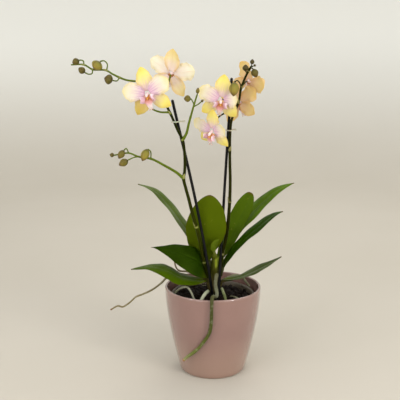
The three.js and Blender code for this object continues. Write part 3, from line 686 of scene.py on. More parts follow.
crown_paint = Paint("crown_sheaths", roughness=0.5, specular=0.25)
spot = crown_paint.spot()
height = crown_paint.axis(spot, 2)
sideways = crown_paint.axis(spot, 0)
streak = crown_paint.noise(crown_paint.stretched(spot, (1.0, 1.0, 0.12)), 900.0, 3.0)
green = crown_paint.mix(crown_paint.span(height, 0.138, 0.168), "3c3c08", "4c540c")
dry = crown_paint.mix(streak, "2c2208", "473b14")
fresh = crown_paint.span(height + (streak - 0.5) * 0.02, 0.122, 0.142)
tone = crown_paint.mix(fresh, dry, green)
shoot = crown_paint.span(height, 0.146, 0.152) * crown_paint.span(height, 0.166, 0.160)
shoot = shoot * crown_paint.span(sideways, 0.0015, 0.004)
tone = crown_paint.mix(shoot * 0.85, tone, "8c9a28")
crown_paint.feed("Base Color", crown_paint.mix(crown_paint.span(streak, 0.5, 0.75) * 0.35, tone, "7c7c3a"))
crown_paint.feed("Roughness", crown_paint.span(fresh, 0.0, 1.0, 0.8, 0.42))
crown_paint.bump(streak, 0.0006, 0.6)
shells = [tube(CROWN_AXIS, lambda s, a: 6.4 - 2.6 * s ** 1.5 + 0.25 * math.sin(3 * a + 9 * s), 40, 28)]
for name, (midrib, across, width, *_) in LEAVES.items():
    clasp, drop = (0.5, 8) if name == "leaf_young" else (0.95, 16)
    shells.append(sheath(midrib, across, width * clasp, drop))
fit(mesh_object("crown_with_sheaths", together(shells), crown_paint), "crown_stem")


# ---- Leaves ----
# Nine fleshy strap leaves in two ranks, folded at the foot, grooved along the midrib above and keeled
# below. The skin is waxy, with fine veins side by side along the leaf and a thin dry edge and tip.
def blade(route, across, half_width, lift, depth, rows, columns):
    """A closed skin on a midrib. Lift raises the middle surface and depth gives half the thickness, both
    in metres, from the offset across (-1 to 1), the share of length, the half width and the side."""
    shares = np.sin(np.linspace(0, math.pi / 2, rows + 1))[:-1]
    shares = np.append(shares, 0.9994)
    offsets = -np.cos(np.linspace(0, math.pi, columns + 1))
    across = np.array(across, float)
    rings, places = [], []
    for share in shares:
        centre, along = route.at(share), route.along(share)
        side = across - along * across.dot(along)
        side /= np.linalg.norm(side)
        up = np.cross(side, along)
        reach = half_width(share)
        ring, place = [], []
        for face, row in ((1, offsets), (-1, offsets[-2:0:-1])):
            for offset in row:
                rise = lift(offset, share, reach) + face * depth(offset, share, face)
                ring.append(centre + side * reach * offset + up * rise)
                place.append((offset, share, face))
        rings.append(ring)
        places.append(place)
    return skin(rings, places)


def hump(distance):
    """A swelling that is 1 at no distance and fades within about 2."""
    return math.exp(-distance ** 2)


def leaf_paint(name, upper, lower, edge, seed):
    paint = Paint(name, roughness=0.4, specular=0.12, tint="c4cc60")
    across, along, side = paint.place()
    spot = paint.spot()
    blotch = paint.noise(spot, 34.0, 4.0, 0.55)
    veins = paint.noise(paint.vector(across * 26.0, along * 1.6, seed), 1.0, 2.0)
    fine = paint.noise(paint.vector(across * 95.0, along * 5.0, seed), 1.0, 2.0)
    cells = paint.noise(spot, 1400.0, 1.0)
    top = paint.mix(paint.span(blotch, 0.3, 0.75), upper, colour(upper, 0.62))
    top = paint.mix(paint.span(veins, 0.45, 0.8) * 0.4, top, colour(upper, 1.7))
    width = abs(across)
    midrib = paint.span(width, 0.055, 0.0)
    top = paint.mix(midrib * 0.5, top, colour(upper, 0.5))
    beside = paint.span(width, 0.03, 0.075) * paint.span(width, 0.16, 0.075)
    top = paint.mix(beside * 0.25, top, colour(upper, 1.8))
    under = paint.mix(blotch, lower, colour(lower, 0.75))
    tone = paint.mix(paint.span(side, -0.2, 0.2), under, top)
    tone = paint.mix(paint.span(along, 0.20, 0.02) * 0.35, tone, "5e6a14")
    tone = paint.mix(paint.span(width + (blotch - 0.5) * 0.05, 0.935, 1.0) * 0.65, tone, edge)
    tone = paint.mix(paint.span(along + (blotch - 0.5) * 0.04, 0.955, 1.0) * 0.8, tone, "553c18")
    mark = paint.span(paint.noise(spot, 210.0, 2.0), 0.70, 0.76)
    paint.feed("Base Color", paint.mix(mark * 0.25, tone, "84863c"))
    paint.feed("Roughness", paint.span(blotch + fine * 0.3, 0.3, 1.0, 0.3, 0.55))
    paint.bump(fine * 0.6 + veins + cells * 0.15, 0.0005, 0.55)
    return paint


for seed, (name, (midrib, across, width, outline, vee, curl, shades)) in enumerate(LEAVES.items()):
    phase = 1.7 * seed
    young = name == "leaf_young"

    def half_width(share):
        return 0.5 * width * MM * outline(share) * (1 + 0.012 * math.sin(17 * share + phase))

    def lift(offset, share, reach):
        fold = vee + (0.0 if young else 0.55) * max(1 - share / 0.28, 0) ** 2
        crease = math.sqrt(offset ** 2 + 0.004) - 0.063
        wave = 0.045 * math.sin(9.0 * share + phase) * offset * abs(offset)
        wave += 0.02 * math.sin(24 * share + 2 * phase) * offset ** 4
        return reach * (fold * crease - curl * offset ** 2 + wave)

    def depth(offset, share, face):
        body = 1.05 * (1 - offset ** 4) * (0.42 + 0.58 * (1 - abs(offset))) * (1 - 0.35 * share)
        rib = hump(offset / (0.05 if face > 0 else 0.08)) * (1 - 0.7 * share)
        return MM * (0.6 if young else 1.0) * (body - (0.45 if face > 0 else -0.55) * rib)

    shell = blade(Route(midrib), across, half_width, lift, depth, 26 if young else 60, 30)
    paint = leaf_paint(name + "_skin", *shades, float(seed))
    fit(mesh_object("grown_" + name, shell, paint), name)


# ---- Canes ----
# Two thin round canes, dyed nearly black, pushed into the bark to hold the flower spikes up.
STAKE_RADIUS, KNOTS = 2.0, (0.22, 0.5, 0.77)
CANES = {
    "cane_left": ("stake_left", [[8, -6, 40], [-2, -15, 121], [-23.5, -20, 243], [-54.5, -21, 380.5]]),
    "cane_right": ("stake_right", [[6, -22, 40], [8.5, -10, 121], [15.5, 7, 250], [25, 20, 408.5]]),
}
dyed = Paint("dyed_cane", roughness=0.42, specular=0.12)
_, along, _ = dyed.place()
spot = dyed.spot()
strands = dyed.noise(dyed.stretched(spot, (1.0, 1.0, 0.03)), 1500.0, 3.0)
worn = dyed.span(dyed.noise(spot, 85.0, 3.0), 0.62, 0.8)
tone = dyed.mix(strands, "070708", "131314")
tone = dyed.mix(worn * 0.3, tone, "4a4638")
dyed.feed("Base Color", dyed.mix(dyed.span(along, 0.996, 0.999), tone, "3c3626"))
dyed.feed("Roughness", dyed.span(strands, 0.3, 0.8, 0.35, 0.6))
dyed.bump(strands, 0.0003, 0.5)


def cane_radius(share, angle):
    knot = sum(hump((share - at) * 170) for at in KNOTS)
    return STAKE_RADIUS * (0.965 + 0.03 * knot + 0.012 * math.sin(5 * angle))


for name, (node, points) in CANES.items():
    fit(mesh_object(name, tube(Route(points), cane_radius, 150, 20), dyed), node)


# ---- Flower spikes ----
# Two arching stalks with swollen joints, each under a small dry bract. Side stalks, the flowers' own
# stalks and the buds grow from the joints. The buds are closed sepals, olive with brown seams and ends.
# In millimetres. Joints are heights and far joints are places. A bud is its stalk, the place of its tip, its
# width, and how dark it is in quarters.
SPIKES = {
    "spike_left": dict(
        stalk=[[-7, -8.5, 133], [-8.5, -9.5, 143], [-11.5, -11.5, 156], [-15, -14.5, 172.5],
               [-18, -17.5, 188], [-23, -21.5, 209.5], [-28.5, -25, 230], [-33.5, -27.5, 251],
               [-37, -27.5, 264], [-40, -27.5, 277.5], [-38.5, -27.5, 286], [-38, -27.5, 300],
               [-39, -27.5, 317.5], [-40.5, -27.5, 327], [-47.5, -27, 341.5], [-55.5, -26, 360],
               [-66.5, -23, 381], [-77, -20, 395], [-88, -20, 402], [-114, -22, 405.7], [-131, -22, 413],
               [-140, -22, 418], [-157, -22, 419], [-168, -22, 425], [-185, -22, 425]],
        green_from=[-79, -20, 396],
        thickness=(2.5, 0.9),
        joints=[158, 211, 277.5, 329, 362, 392],
        far_joints=[[-123, -22, 407.5], [-139, -22, 418], [-157, -22, 419], [-168, -22, 425]],
        branches=[
            ([[-40.5, -27.5, 277.5], [-50, -29, 286], [-64, -31, 294.5], [-81.5, -34, 304],
             [-99, -36, 307.5], [-111, -36, 312], [-131, -36, 309]], (1.8, 0.8)),
            ([[-40, -27.5, 329], [-36, -27.5, 336.5], [-32.5, -28, 350.5], [-26, -28, 373.5],
             [-21.5, -28, 388]], (1.7, 0.9))],
        pedicels=[
            [[-58, -27, 364], [-71, -30, 365], [-82, -34, 371], [-84, -38, 380], [-84, -42.3, 388.4]],
            [[-74, -21, 392], [-63, -17, 395], [-59, -10, 404], [-57, -4, 413]]],
        buds=[
            ([[-139, -22, 418], [-138, -22, 426], [-142, -23, 430], [-147, -24, 429]],
             [-155, -24, 419], 15, 0),
            ([[-168, -22, 425], [-169, -22, 430], [-174, -22, 431]], [-183, -22, 427], 9, 3),
            ([[-157, -22, 419], [-158, -22, 414], [-162, -23, 413], [-167, -23, 415]],
             [-175, -23, 421], 9, 3),
            ([[-123, -22, 407.5], [-126, -23, 404.5], [-131, -24, 405]], [-142, -25, 408], 13, 3),
            ([[-82, -34, 304], [-82.5, -36, 314], [-86, -38, 317.5]], [-93.5, -39, 302], 11, 0),
            ([[-111, -36, 312], [-114, -37, 318], [-117, -38, 316]], [-124, -39, 305], 9, 2),
            ([[-99, -36, 307.5], [-105, -36, 306], [-112, -37, 303]], [-124, -37, 296], 10, 2),
            ([[-129, -36, 309], [-130, -36, 309]], [-136, -36, 310], 6, 3),
            ([[-26, -28, 374], [-28, -28.5, 379], [-30, -29, 382]], [-39, -30, 382], 9, 2),
            ([[-26, -28, 371], [-20, -27.5, 375], [-17, -26.5, 377.5]], [-13.5, -26, 380.5], 3.4, 3),
            ([[-22, -28, 386], [-21.5, -28, 388]], [-20.5, -28, 396], 5, 2)]),
    "spike_right": dict(
        stalk=[[11, 0.5, 133], [11, 1, 143], [11.7, 2, 158], [14, 2.5, 171], [17, 2.5, 183],
               [19, 2.5, 193.5], [21.5, 2.5, 218], [23, 3, 242.5], [23.5, 4, 270], [23, 5.5, 290.5],
               [22.7, 7, 311], [23, 8.5, 331.5], [25, 10, 352], [34.6, 12, 377], [37.4, 12, 394],
               [44.4, 12, 412], [51, 12, 424]],
        thickness=(2.5, 1.3),
        joints=[165, 240, 311, 362, 375, 396, 417],
        branches=[],
        pedicels=[
            [[31, 11, 367], [24, 6, 374], [15, -4, 379], [10.5, -12.5, 381]],
            [[28.5, 10.5, 361], [20, 8, 362], [7, -6, 357], [-0.5, -16.5, 344]],
            [[38, 12, 396], [41, 14.5, 400], [44, 23, 402.5], [47, 31, 403.5]],
            [[33.5, 12, 374], [33.5, 17, 373], [33, 21, 374], [34, 27, 374.5]]],
        buds=[
            ([[37.4, 12, 394], [35, -3, 401], [30, -20, 405], [26.5, -29, 403]], [25, -32, 385], 13, 0),
            ([[47, 12, 417], [44, 11, 416], [43, 10, 417]], [43, 9, 426], 8.5, 4),
            ([[49, 12, 421], [52, 10, 421], [53, 9, 420]], [58, 8, 409], 10, 3),
            ([[51, 12, 424], [51.5, 12, 426]], [52.5, 12, 433], 6, 4),
            ([[50.5, 12, 423], [54, 12, 424]], [57, 12, 425.5], 3.6, 4)]),
}
TWIG = 0.7


def twig_mark(share):
    return TWIG


def pedicel_radius(share, angle):
    return 1.3 - 0.3 * share + 0.06 * math.sin(3 * angle + 6 * share) + 0.5 * hump(share / 0.07)


def bud_stalk_radius(share, angle):
    return 0.82 + 0.35 * hump(share / 0.1) + 0.3 * hump((1 - share) / 0.12)


def spike_paint(name, low, high, twig):
    """Stalk skin: one colour low down, another high up. A mark of 0.7 is green twig, 0.95 a pale joint."""
    paint = Paint(name, roughness=0.45, specular=0.22, tint="a8a840")
    _, along, mark = paint.place()
    spot = paint.spot()
    height = paint.axis(spot, 2)
    mottle = paint.noise(spot, 240.0, 3.0, 0.6)
    streak = paint.noise(paint.stretched(spot, (1.0, 1.0, 0.15)), 1100.0, 2.0)
    tone = paint.mix(paint.span(height, 0.17, 0.36), low, high)
    tone = paint.mix(paint.span(mark, 0.4, 0.6), tone, twig)
    tone = paint.mix(paint.span(mottle, 0.45, 0.75) * 0.4, tone, "261c0e")
    tone = paint.mix(paint.span(streak, 0.5, 0.8) * 0.15, tone, "50561c")
    joint = paint.span(mark, 0.8, 1.0)
    paint.feed("Base Color", paint.mix(joint * 0.6, tone, "a39c68"))
    paint.feed("Roughness", paint.span(mottle, 0.3, 0.7, 0.36, 0.6))
    paint.bump(mottle + streak, 0.0004, 0.45)
    return paint


bud_paint = Paint("bud_skin", roughness=0.5, specular=0.3, subsurface=0.08, subsurface_scale=0.003)
around, along, marked = bud_paint.place()
quarters = bud_paint.node("Math", {"operation": "FLOOR"}, {0: marked})
seam = marked - quarters
spot = bud_paint.spot()
mottle = bud_paint.noise(spot, 190.0, 3.0, 0.6)
stripes = bud_paint.noise(bud_paint.vector(around * 9.0, along * 1.2, seam), 1.0, 2.0)
tone = bud_paint.ramp(along, [(0.0, "3f3d0d"), (0.22, "7c7624"), (0.7, "988836"), (1.0, "5c4018")])
tone = bud_paint.mix(bud_paint.span(stripes, 0.4, 0.8) * 0.35, tone, "7c7434")
tone = bud_paint.mix(bud_paint.span(mottle, 0.5, 0.8) * 0.45, tone, "8e5f3e")
tone = bud_paint.mix(quarters * 0.22, tone, "342a08")
bud_paint.feed("Base Color", bud_paint.mix(bud_paint.span(seam, 0.3, 0.9) * 0.6, tone, "4d3818"))
bud_paint.bump(stripes + mottle * 0.5, 0.0005, 0.5)


def grown_on(points, stalks):
    """A route whose first point moves to the nearest point of any of the stalks, as a joint does."""
    start = np.array(points[0]) * MM
    spots = np.vstack([stalk.points for stalk in stalks])
    return Route([spots[np.argmin(np.linalg.norm(spots - start, axis=1))] / MM] + points[1:])


def bract(stalk, share, radius, size, turn):
    """A dry scale that hugs the stalk above a joint, size millimetres long."""
    onward, foot = stalk.along(share), stalk.at(share)
    out = np.array([math.cos(turn), math.sin(turn), 0.0])
    out -= onward * out.dot(onward)
    out /= np.linalg.norm(out)
    foot = foot / MM + out * (radius + 0.15)
    rises = ((0.4, 0.25), (0.75, 0.3), (1, 0.7))
    route = Route([foot] + [foot + onward * size * up + out * away for up, away in rises])
    outline = profile_share(0.3, 1.0, 0.8)
    return blade(route, np.cross(onward, out), lambda s: MM * radius * 1.15 * float(outline(s)),
                 lambda o, s, reach: -0.75 * reach * o ** 2,
                 lambda o, s, face: MM * 0.22 * (1 - o ** 4), 10, 8)


def bud(top, tip, width, dark):
    """Closed sepals: an egg, blunt at its stalk, with three seams that meet at the tip. Dark, from 0 to 4
    quarters, is added to its place."""
    axis = Route([top, [(a + b) / 2 for a, b in zip(top, tip)], tip])
    rings, places = [], []
    onward = axis.along(0.5)
    first = np.cross(onward, (0.2, 1, 0.1))
    first /= np.linalg.norm(first)
    second = np.cross(onward, first)
    for t in 0.5 - 0.5 * np.cos(np.linspace(0.09, math.pi - 0.07, 24)):
        ring, place = [], []
        for angle in np.linspace(0, 2 * math.pi, 24, endpoint=False):
            seam = hump(math.sin(1.5 * angle) / 0.16)
            size = 0.5 * width * MM * math.sin(math.pi * t ** 0.88) ** 0.72 * (1 - 0.07 * seam)
            ring.append(axis.at(t) + size * (math.cos(angle) * first + math.sin(angle) * second))
            place.append((math.cos(angle), float(t), 0.9 * seam + dark))
        rings.append(ring)
        places.append(place)
    return skin(rings, places)


SPIKE_SKINS = {
    "spike_left": spike_paint("left_spike_skin", "262c04", "121804", "5a6a1c"),
    "spike_right": spike_paint("right_spike_skin", "1c1e04", "1a1c06", "2c3010"),
}
for name, spike in SPIKES.items():
    stalk = Route(spike["stalk"])
    wide, narrow = spike["thickness"]
    heights = stalk.points[:, 2]
    joints = [stalk.reach[np.argmin(abs(heights - z * MM))] / stalk.length for z in spike["joints"]]
    joints += [stalk.nearest(np.array(point) * MM) for point in spike.get("far_joints", [])]
    green_from = stalk.nearest(np.array(spike["green_from"]) * MM) if "green_from" in spike else 2.0

    def near_joint(share):
        return sum(hump((share - at) * stalk.length / 0.0028) for at in joints)

    def stalk_mark(share):
        return 0.95 if near_joint(share) > 0.75 else TWIG * (share > green_from)

    shells = [tube(stalk, lambda s, a: (wide + (narrow - wide) * s) * (1.08 + 0.2 * near_joint(s)), 240, 16,
                   mark=stalk_mark)]
    side_stalks = [(grown_on(points, [stalk]), ends) for points, ends in spike["branches"]]
    stalks = [stalk] + [route for route, _ in side_stalks]
    for route, (start, end) in side_stalks:
        def branch_radius(share, angle):
            swell = 1.12 + 0.35 * hump(share * route.length / 0.004) + 0.12 * hump((share - 0.5) * 40)
            return (start + (end - start) * share) * swell
        shells.append(tube(route, branch_radius, 60, 14, mark=twig_mark))
    shells += [tube(grown_on(points, stalks), pedicel_radius, 40, 12, mark=twig_mark)
               for points in spike["pedicels"]]
    shells += [tube(grown_on(points, stalks), bud_stalk_radius, 24, 10, mark=twig_mark)
               for points, *_ in spike["buds"]]
    for turn, share in enumerate(joints):
        radius = (wide + (narrow - wide) * share) * 1.12
        shells.append(bract(stalk, share, radius, 4 + 4 * (1 - share), 2.4 * turn + 0.6))
    fit(mesh_object(name + "_stems", together(shells), SPIKE_SKINS[name]), name)
    buds = [bud(points[-1], tip, width, dark) for points, tip, width, dark in spike["buds"]]
    fit(mesh_object(name + "_buds", together(buds), bud_paint), name)


# ---- Clips ----
# Small moulded clips in pale translucent plastic. Each is a thin band round a spike and its cane, with
# two finger tabs that open it.
# name: (CAD node, centre on the cane, centre on the spike, direction of the tabs in radians)
CLIPS = {
    "plant_clip_left": ("clip_left", (-48.6, -20.5, 351), (-51.6, -26.5, 351), -0.3),
    "plant_clip_right": ("clip_right", (21.3, 14.9, 337), (23.4, 8.9, 337), 0.2),
}
CLIP_REACH, CLIP_WALL, CLIP_HEIGHT, TAB_LENGTH = 3.4, 0.8, 1.6, 8.0
clip_paint = Paint("pale_clip_plastic", roughness=0.3, ior=1.46, subsurface=0.3, subsurface_scale=0.002)
spot = clip_paint.spot()
cloud = clip_paint.noise(spot, 260.0, 2.0)
clip_paint.feed("Base Color", clip_paint.mix(cloud, "a4a890", "c8c8b8"))
clip_paint.bump(cloud, 0.0001, 0.4)


def tab_radius(share, angle):
    """A tab is oval in section and widens towards its end."""
    return 1 / math.hypot(math.cos(angle) / 0.55, math.sin(angle) / 0.42) * (1 + 0.2 * share)


for name, (node, cane_at, stalk_at, tabs) in CLIPS.items():
    span = np.array(stalk_at[:2]) - np.array(cane_at[:2])
    turn = math.atan2(span[1], span[0])
    middle = CLIP_REACH + CLIP_WALL / 2
    round_end = np.linspace(0, math.pi, 20)
    path = [(-middle * math.sin(a), middle * math.cos(a)) for a in round_end]
    path += [(np.hypot(*span) + middle * math.sin(a), -middle * math.cos(a)) for a in round_end]
    path = [np.array(p) for p in path]
    rings, places = [], []
    for i, here in enumerate(path):
        onward = path[(i + 1) % len(path)] - path[i - 1]
        out = np.array([onward[1], -onward[0]]) / np.hypot(*onward)
        ring = []
        for angle in np.linspace(0, 2 * math.pi, 16, endpoint=False):
            c, s = math.cos(angle), math.sin(angle)
            x, y = here + out * 0.5 * CLIP_WALL * math.copysign(abs(c) ** 0.5, c)
            z = CLIP_HEIGHT / 2 + 0.5 * CLIP_HEIGHT * math.copysign(abs(s) ** 0.5, s)
            ring.append(np.array([cane_at[0] + x * math.cos(turn) - y * math.sin(turn),
                                  cane_at[1] + x * math.sin(turn) + y * math.cos(turn), cane_at[2] + z]) * MM)
        rings.append(ring)
        places.append([(0, i / len(path), 0)] * len(ring))
    shells = [skin(rings, places, closed=True)]
    for i, rise in enumerate((0.7, 1.6)):
        bend = tabs + 0.22 * i
        foot = np.array(cane_at) + (CLIP_REACH * math.cos(bend), CLIP_REACH * math.sin(bend), rise)
        reach = np.array([math.cos(bend), math.sin(bend), 0.0])
        middle, end = reach * TAB_LENGTH * 0.5 + [0, 0, 0.1], reach * TAB_LENGTH + [0, 0, 0.5 * i]
        shells.append(tube(Route([foot, foot + middle, foot + end]), tab_radius, 14, 12))
    fit(mesh_object(name, together(shells), clip_paint), node)


# ---- Flowers ----
# Six open flowers. Three narrower sepals stand behind two broad petals, yellow at the edge and flushed pink
# towards the middle. The backs are cream, and darker peach, as painted shade, on the two flowers at the
# right, which face away.
# The lip and the column above it are one piece.
# Centres in millimetres, turns in degrees. Flowers with shaded backs get darker peach backs as painted shade,
# and one sepal that lies in shade gets a darker mustard front as painted shade.
FLOWERS = {
    "flower_left_front": dict(centre=(-84.5, -45.5, 389), yaw=-10, pitch=-10, roll=15, size=34,
        shade_painted="left_sepal"),
    "flower_left_back": dict(centre=(-56.5, 1, 414), yaw=158, pitch=14, roll=15, size=35),
    "flower_right_top": dict(centre=(9.5, -16, 380.5), yaw=-4, pitch=-18, roll=-8, size=33,
        right_petal=dict(angle=8, length=0.66)),
    "flower_right_low": dict(centre=(-2, -21, 339.5), yaw=-36, pitch=-24, roll=-12, size=30,
        right_petal=dict(length=0.72)),
    "flower_right_side": dict(centre=(49, 33, 403.5), yaw=125, pitch=0, roll=33, size=34,
        dorsal_sepal=dict(length=0.7, bow=-0.5), left_sepal=dict(length=0.8), warm=True),
    "flower_right_rear": dict(centre=(35.5, 30, 374.5), yaw=148, pitch=0, roll=-17, size=32, warm=True),
}
SEPAL, PETAL = profile_share(0.12, 1.1, 0.7), profile_share(0.1, 1.35, 0.62)
# Angle in degrees; start and layer in millimetres; length, width and bow as shares of the flower's size.
TEPALS = {
    "dorsal_sepal": dict(angle=90, start=3.4, length=1.0, width=0.66, layer=-0.9, outline=SEPAL, bow=-0.1),
    "left_sepal": dict(angle=225, start=4.7, length=0.98, width=0.6, layer=-0.9, outline=SEPAL, bow=-0.1),
    "right_sepal": dict(angle=-45, start=4.7, length=0.98, width=0.6, layer=-0.9, outline=SEPAL, bow=-0.1),
    "left_petal": dict(angle=160, start=3.4, length=0.98, width=0.82, layer=0.8, outline=PETAL, bow=0.02),
    "right_petal": dict(angle=20, start=3.4, length=0.98, width=0.82, layer=0.8, outline=PETAL, bow=0.02),
}


def tepal_paint(name, stops, edge, back, flush, back_edge):
    """A petal's skin: colours by the share of its length, fine veins, a yellow edge and a paler back."""
    paint = Paint(name, roughness=0.55, subsurface=0.4, subsurface_scale=0.004,
                  subsurface_radius=(1.0, 0.9, 0.7), specular=0.25)
    across, along, side = paint.place()
    spot = paint.spot()
    cloud = paint.noise(spot, 75.0, 3.0, 0.55)
    veins = paint.noise(paint.vector(across * 15.0, along * 1.3, cloud), 1.0, 2.0, 0.55, 0.4)
    fine = paint.noise(paint.vector(across * 60.0, along * 5.0, 0.0), 1.0, 2.0)
    spread = along + (cloud - 0.5) * 0.22
    front = paint.ramp(spread, stops)
    rim = paint.span(abs(across) + (cloud - 0.5) * 0.3, 0.55, 1.0) * paint.span(along, 0.12, 0.5)
    front = paint.mix(rim * 0.75, front, edge)
    streaks = paint.span(veins, 0.46, 0.66) * paint.span(along, 0.8, 0.15)
    front = paint.mix(streaks * 0.62, front, flush)
    rear = paint.ramp(spread, back)
    rear = paint.mix(paint.span(abs(across) + (cloud - 0.5) * 0.4, 0.35, 0.95) * 0.8, rear, back_edge)
    rear = paint.mix(paint.span(veins, 0.45, 0.75) * 0.25, rear, "e8b4a4")
    rear = paint.mix(paint.span(abs(across), 0.08, 0.0) * 0.2, rear, "dcb888")
    paint.feed("Base Color", paint.mix(paint.span(side, -0.2, 0.2), rear, front))
    paint.feed("Roughness", paint.span(cloud, 0.3, 0.7, 0.48, 0.66))
    paint.bump(veins + fine * 0.4, 0.0005, 0.5)
    return paint


SEPAL_BACK = [(0.0, "eed4ce"), (0.3, "f0d8c4"), (0.6, "f3dca6"), (1.0, "edca78")]
PETAL_BACK = [(0.0, "f2dcd6"), (0.3, "f6e8d8"), (0.7, "faf2d8"), (1.0, "f6ecc0")]
# Painted shade: darker peach backs for the two flowers that face away into shade.
SHADED_BACK = [(0.0, "e2b89c"), (0.3, "e4be90"), (0.7, "e8c684"), (1.0, "e0b464")]
SEPAL_FRONT = [(0.0, "e4c4ce"), (0.2, "ecd2c2"), (0.34, "f0dc9c"), (0.7, "f4e078"), (1.0, "eccc54")]
PETAL_FRONT = [(0.0, "dfb8ce"), (0.2, "e2c4d0"), (0.4, "ead6ce"), (0.7, "f0e4c8"), (1.0, "ecda98")]
# Painted shade: a darker mustard front for a sepal that lies in shade.
SHADE_PAINTED_FRONT = [(0.0, "dcbcb0"), (0.2, "dcc498"), (0.34, "d4b870"), (0.7, "c8ac54"), (1.0, "bca048")]
TEPAL_PAINTS = {
    "sepal": tepal_paint("sepal_skin", SEPAL_FRONT, "eac854", SEPAL_BACK, "dcacbc", "ecc070"),
    "petal": tepal_paint("petal_skin", PETAL_FRONT, "ecd888", PETAL_BACK, "bf84b2", "f0dea4"),
    "warm_sepal": tepal_paint("warm_sepal_skin", SEPAL_FRONT, "eac854", SHADED_BACK, "dcacbc", "dca850"),
    "warm_petal": tepal_paint("warm_petal_skin", PETAL_FRONT, "ecd888", SHADED_BACK, "bf84b2", "e0b060"),
    "shade_painted_sepal": tepal_paint("shade_painted_sepal_skin", SHADE_PAINTED_FRONT, "c0a044", SEPAL_BACK, "c89880", "d8a850"),
}


class Bloom:
    """A flower's own frame: it faces along its third direction with the dorsal sepal along its second."""

    def __init__(self, centre, yaw, pitch, roll):
        yaw, pitch, roll = (math.radians(a) for a in (yaw, pitch, roll))
        level = math.cos(pitch)
        facing = np.array([math.sin(yaw) * level, -math.cos(yaw) * level, math.sin(pitch)])
        right = np.cross((0, 0, 1), facing)
        right /= np.linalg.norm(right)
        up = np.cross(facing, right)
        turned = math.cos(roll) * right + math.sin(roll) * up
        self.axes = np.array([turned, np.cross(facing, turned), facing])
        self.centre = np.array(centre) * MM

    def placed(self, shell):
        points, faces, places = shell
        return [self.centre + np.array(p) @ self.axes for p in points], faces, places


def tepal(size, seed, angle, start, length, width, layer, outline, bow):
    turn, end = math.radians(angle), length * size
    midrib = []
    for share in (0, 0.33, 0.67, 1):
        out = start + (end - start) * share
        midrib.append([out * math.cos(turn), out * math.sin(turn), layer + bow * end * share ** 2])
    petal = layer > 0
    draws = np.random.default_rng(seed).uniform(0, 2 * math.pi, 5)

    def half_width(share):
        ragged = 0.05 * math.sin(11 * share + draws[0]) + 0.03 * math.sin(27 * share + draws[3])
        return 0.5 * width * size * MM * outline(share) * (0.9 + ragged if petal else 0.96 + 0.4 * ragged)

    def lift(offset, share, reach):
        cup = (0.10 if petal else -0.14) * offset ** 2
        strength = 1.0 if petal else 0.6
        ruffle = strength * (0.16 * math.sin(8 * share + draws[1]) * offset ** 3
                             + 0.10 * math.sin(21 * share + draws[2] + 2 * offset) * offset ** 4)
        groove = -0.05 * hump(offset / 0.09) * (1 - share)
        return reach * (cup + ruffle + groove) - MM * 0.05 * size * share ** 3 * (0.5 if petal else 0.25)

    def depth(offset, share, face):
        return MM * 0.42 * (1 - offset ** 6) * (1 - 0.3 * share) * (0.55 + 0.45 * (1 - abs(offset)))
    return blade(Route(midrib), (math.sin(turn), -math.cos(turn), 0), half_width, lift, depth, 32, 22)


lip_paint = Paint("lip_skin", roughness=0.45, subsurface=0.2, subsurface_scale=0.002,
                  subsurface_radius=(1.0, 0.9, 0.7))
around, along, part = lip_paint.place()
spot = lip_paint.spot()
cloud = lip_paint.noise(spot, 260.0, 3.0, 0.6)
stripe = lip_paint.noise(lip_paint.vector(around * 12.0, along * 2.0, part), 1.0, 2.0)
middle = lip_paint.ramp(along, [(0.0, "e4a458"), (0.3, "c87c48"), (0.5, "dca0a0"), (0.7, "f2dcdc"),
                                (1.0, "fcf6ee")])
lobes = lip_paint.ramp(along, [(0.0, "dca46a"), (0.3, "e0b0c0"), (0.75, "ecc8da"), (1.0, "f8e8ee")])
cap = lip_paint.ramp(along, [(0.0, "f2dcd8"), (0.5, "f4d8de"), (1.0, "fbf0e8")])
tone = lip_paint.mix(lip_paint.span(part, 0.4, 0.6), middle, lobes)
tone = lip_paint.mix(lip_paint.span(part, 1.4, 1.6), tone, cap)
tone = lip_paint.mix(lip_paint.span(part, 2.4, 2.6), tone, "e0a23c")
freckles = lip_paint.span(cloud, 0.60, 0.68) * lip_paint.span(along, 0.75, 0.3)
tone = lip_paint.mix(freckles * 0.45, tone, "9c4a3c")
lip_paint.feed("Base Color", lip_paint.mix(lip_paint.span(stripe, 0.5, 0.75) * 0.3, tone, "bc6a90"))
lip_paint.bump(stripe + cloud * 0.5, 0.0004, 0.5)


def tagged(shell, part):
    """The shell with its part number as the third number of its places."""
    points, faces, places = shell
    return points, faces, [(p[0], p[1], part) for p in places]


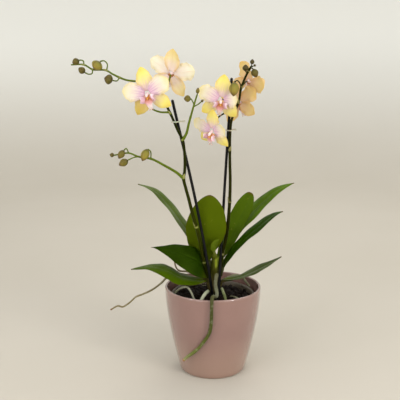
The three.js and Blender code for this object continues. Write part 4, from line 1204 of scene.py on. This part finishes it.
def lip(size):
    """The column with its cap, the middle lobe with its two whiskers, two side lobes and the callus."""
    column = tube(Route([[0, 0, -1.2], [0, -0.5, 3], [0, -1, 6], [0, -2, 8.6]]),
                  lambda s, a: (2 - 0.45 * math.sin(math.pi * s)) * (1 + 0.12 * max(math.sin(a), 0)),
                  26, 20, (1, 0, 0))
    anther = tube(Route([[0, -1.5, 7.4], [0, -2.2, 8.5], [0, -3.0, 8.9]]),
                  lambda s, a: 1.5 + 0.2 * math.sin(math.pi * s), 14, 16)
    callus = tube(Route([[0, -3.0, 3.6], [0, -4.6, 6.2], [0, -6.6, 7.8]]),
                  lambda s, a: 1.1 + 0.25 * math.cos(2 * a), 14, 14, (1, 0, 0))
    outline, side_outline = profile_share(0.25, 1.0, 0.8), profile_share(0.2, 1.2, 0.6)
    middle = blade(
        Route([[0, -1.5, 2.6], [0, -0.24 * size, 6.5], [0, -0.42 * size, 7.5], [0, -0.6 * size, 4.5]]),
        (1, 0, 0),
        lambda s: MM * 0.18 * size * float(outline(s)) * (1 + 0.22 * math.sin(7.5 * s)),
        lambda o, s, reach: reach * (0.28 * o ** 2 - 0.12 * abs(o)) + MM * 0.5 * hump(o / 0.2),
        lambda o, s, face: MM * 0.62 * (1 - o ** 4) * (1 - 0.5 * s), 24, 16)
    shells = [tagged(column, 2.0), tagged(anther, 2.0), tagged(callus, 3.0), tagged(middle, 0.0)]
    for hand in (-1, 1):
        side_lobe = blade(
            Route([[hand * 0.8, -3, 3], [hand * 0.12 * size, -6, 5.5], [hand * 0.24 * size, -5, 9],
                   [hand * 0.2 * size, -0.5, 12]]),
            (0, 1, 0), lambda s: MM * 0.13 * size * float(side_outline(s)),
            lambda o, s, reach: reach * hand * (0.35 * o ** 2),
            lambda o, s, face: MM * 0.42 * (1 - o ** 4), 22, 14)
        whisker = tube(Route([[hand * 0.8, -0.57 * size, 5], [hand * 2.6, -0.6 * size, 6],
                              [hand * 2.2, -0.52 * size, 7.8]]), lambda s, a: 0.42 - 0.25 * s, 16, 8)
        shells += [tagged(side_lobe, 1.0), tagged(whisker, 0.0)]
    return together(shells)


for bloom_number, (flower, plan) in enumerate(FLOWERS.items()):
    bloom = Bloom(plan["centre"], plan["yaw"], plan["pitch"], plan["roll"])
    for number, (part, form) in enumerate(TEPALS.items()):
        shell = tepal(plan["size"], 10 * bloom_number + number, **{**form, **plan.get(part, {})})
        # Flowers marked with shaded backs take the copies whose backs carry painted shade.
        kind = ("warm_" if plan.get("warm") else "") + part.split("_")[1]
        # A sepal marked as in shade takes the copy whose front carries painted shade.
        if plan.get("shade_painted") == part:
            kind = "shade_painted_sepal"
        name = flower + "_" + part
        fit(mesh_object("open_" + name, bloom.placed(shell), TEPAL_PAINTS[kind]), name)
    name = flower + "_lip"
    fit(mesh_object("open_" + name, bloom.placed(lip(plan["size"])), lip_paint), name)
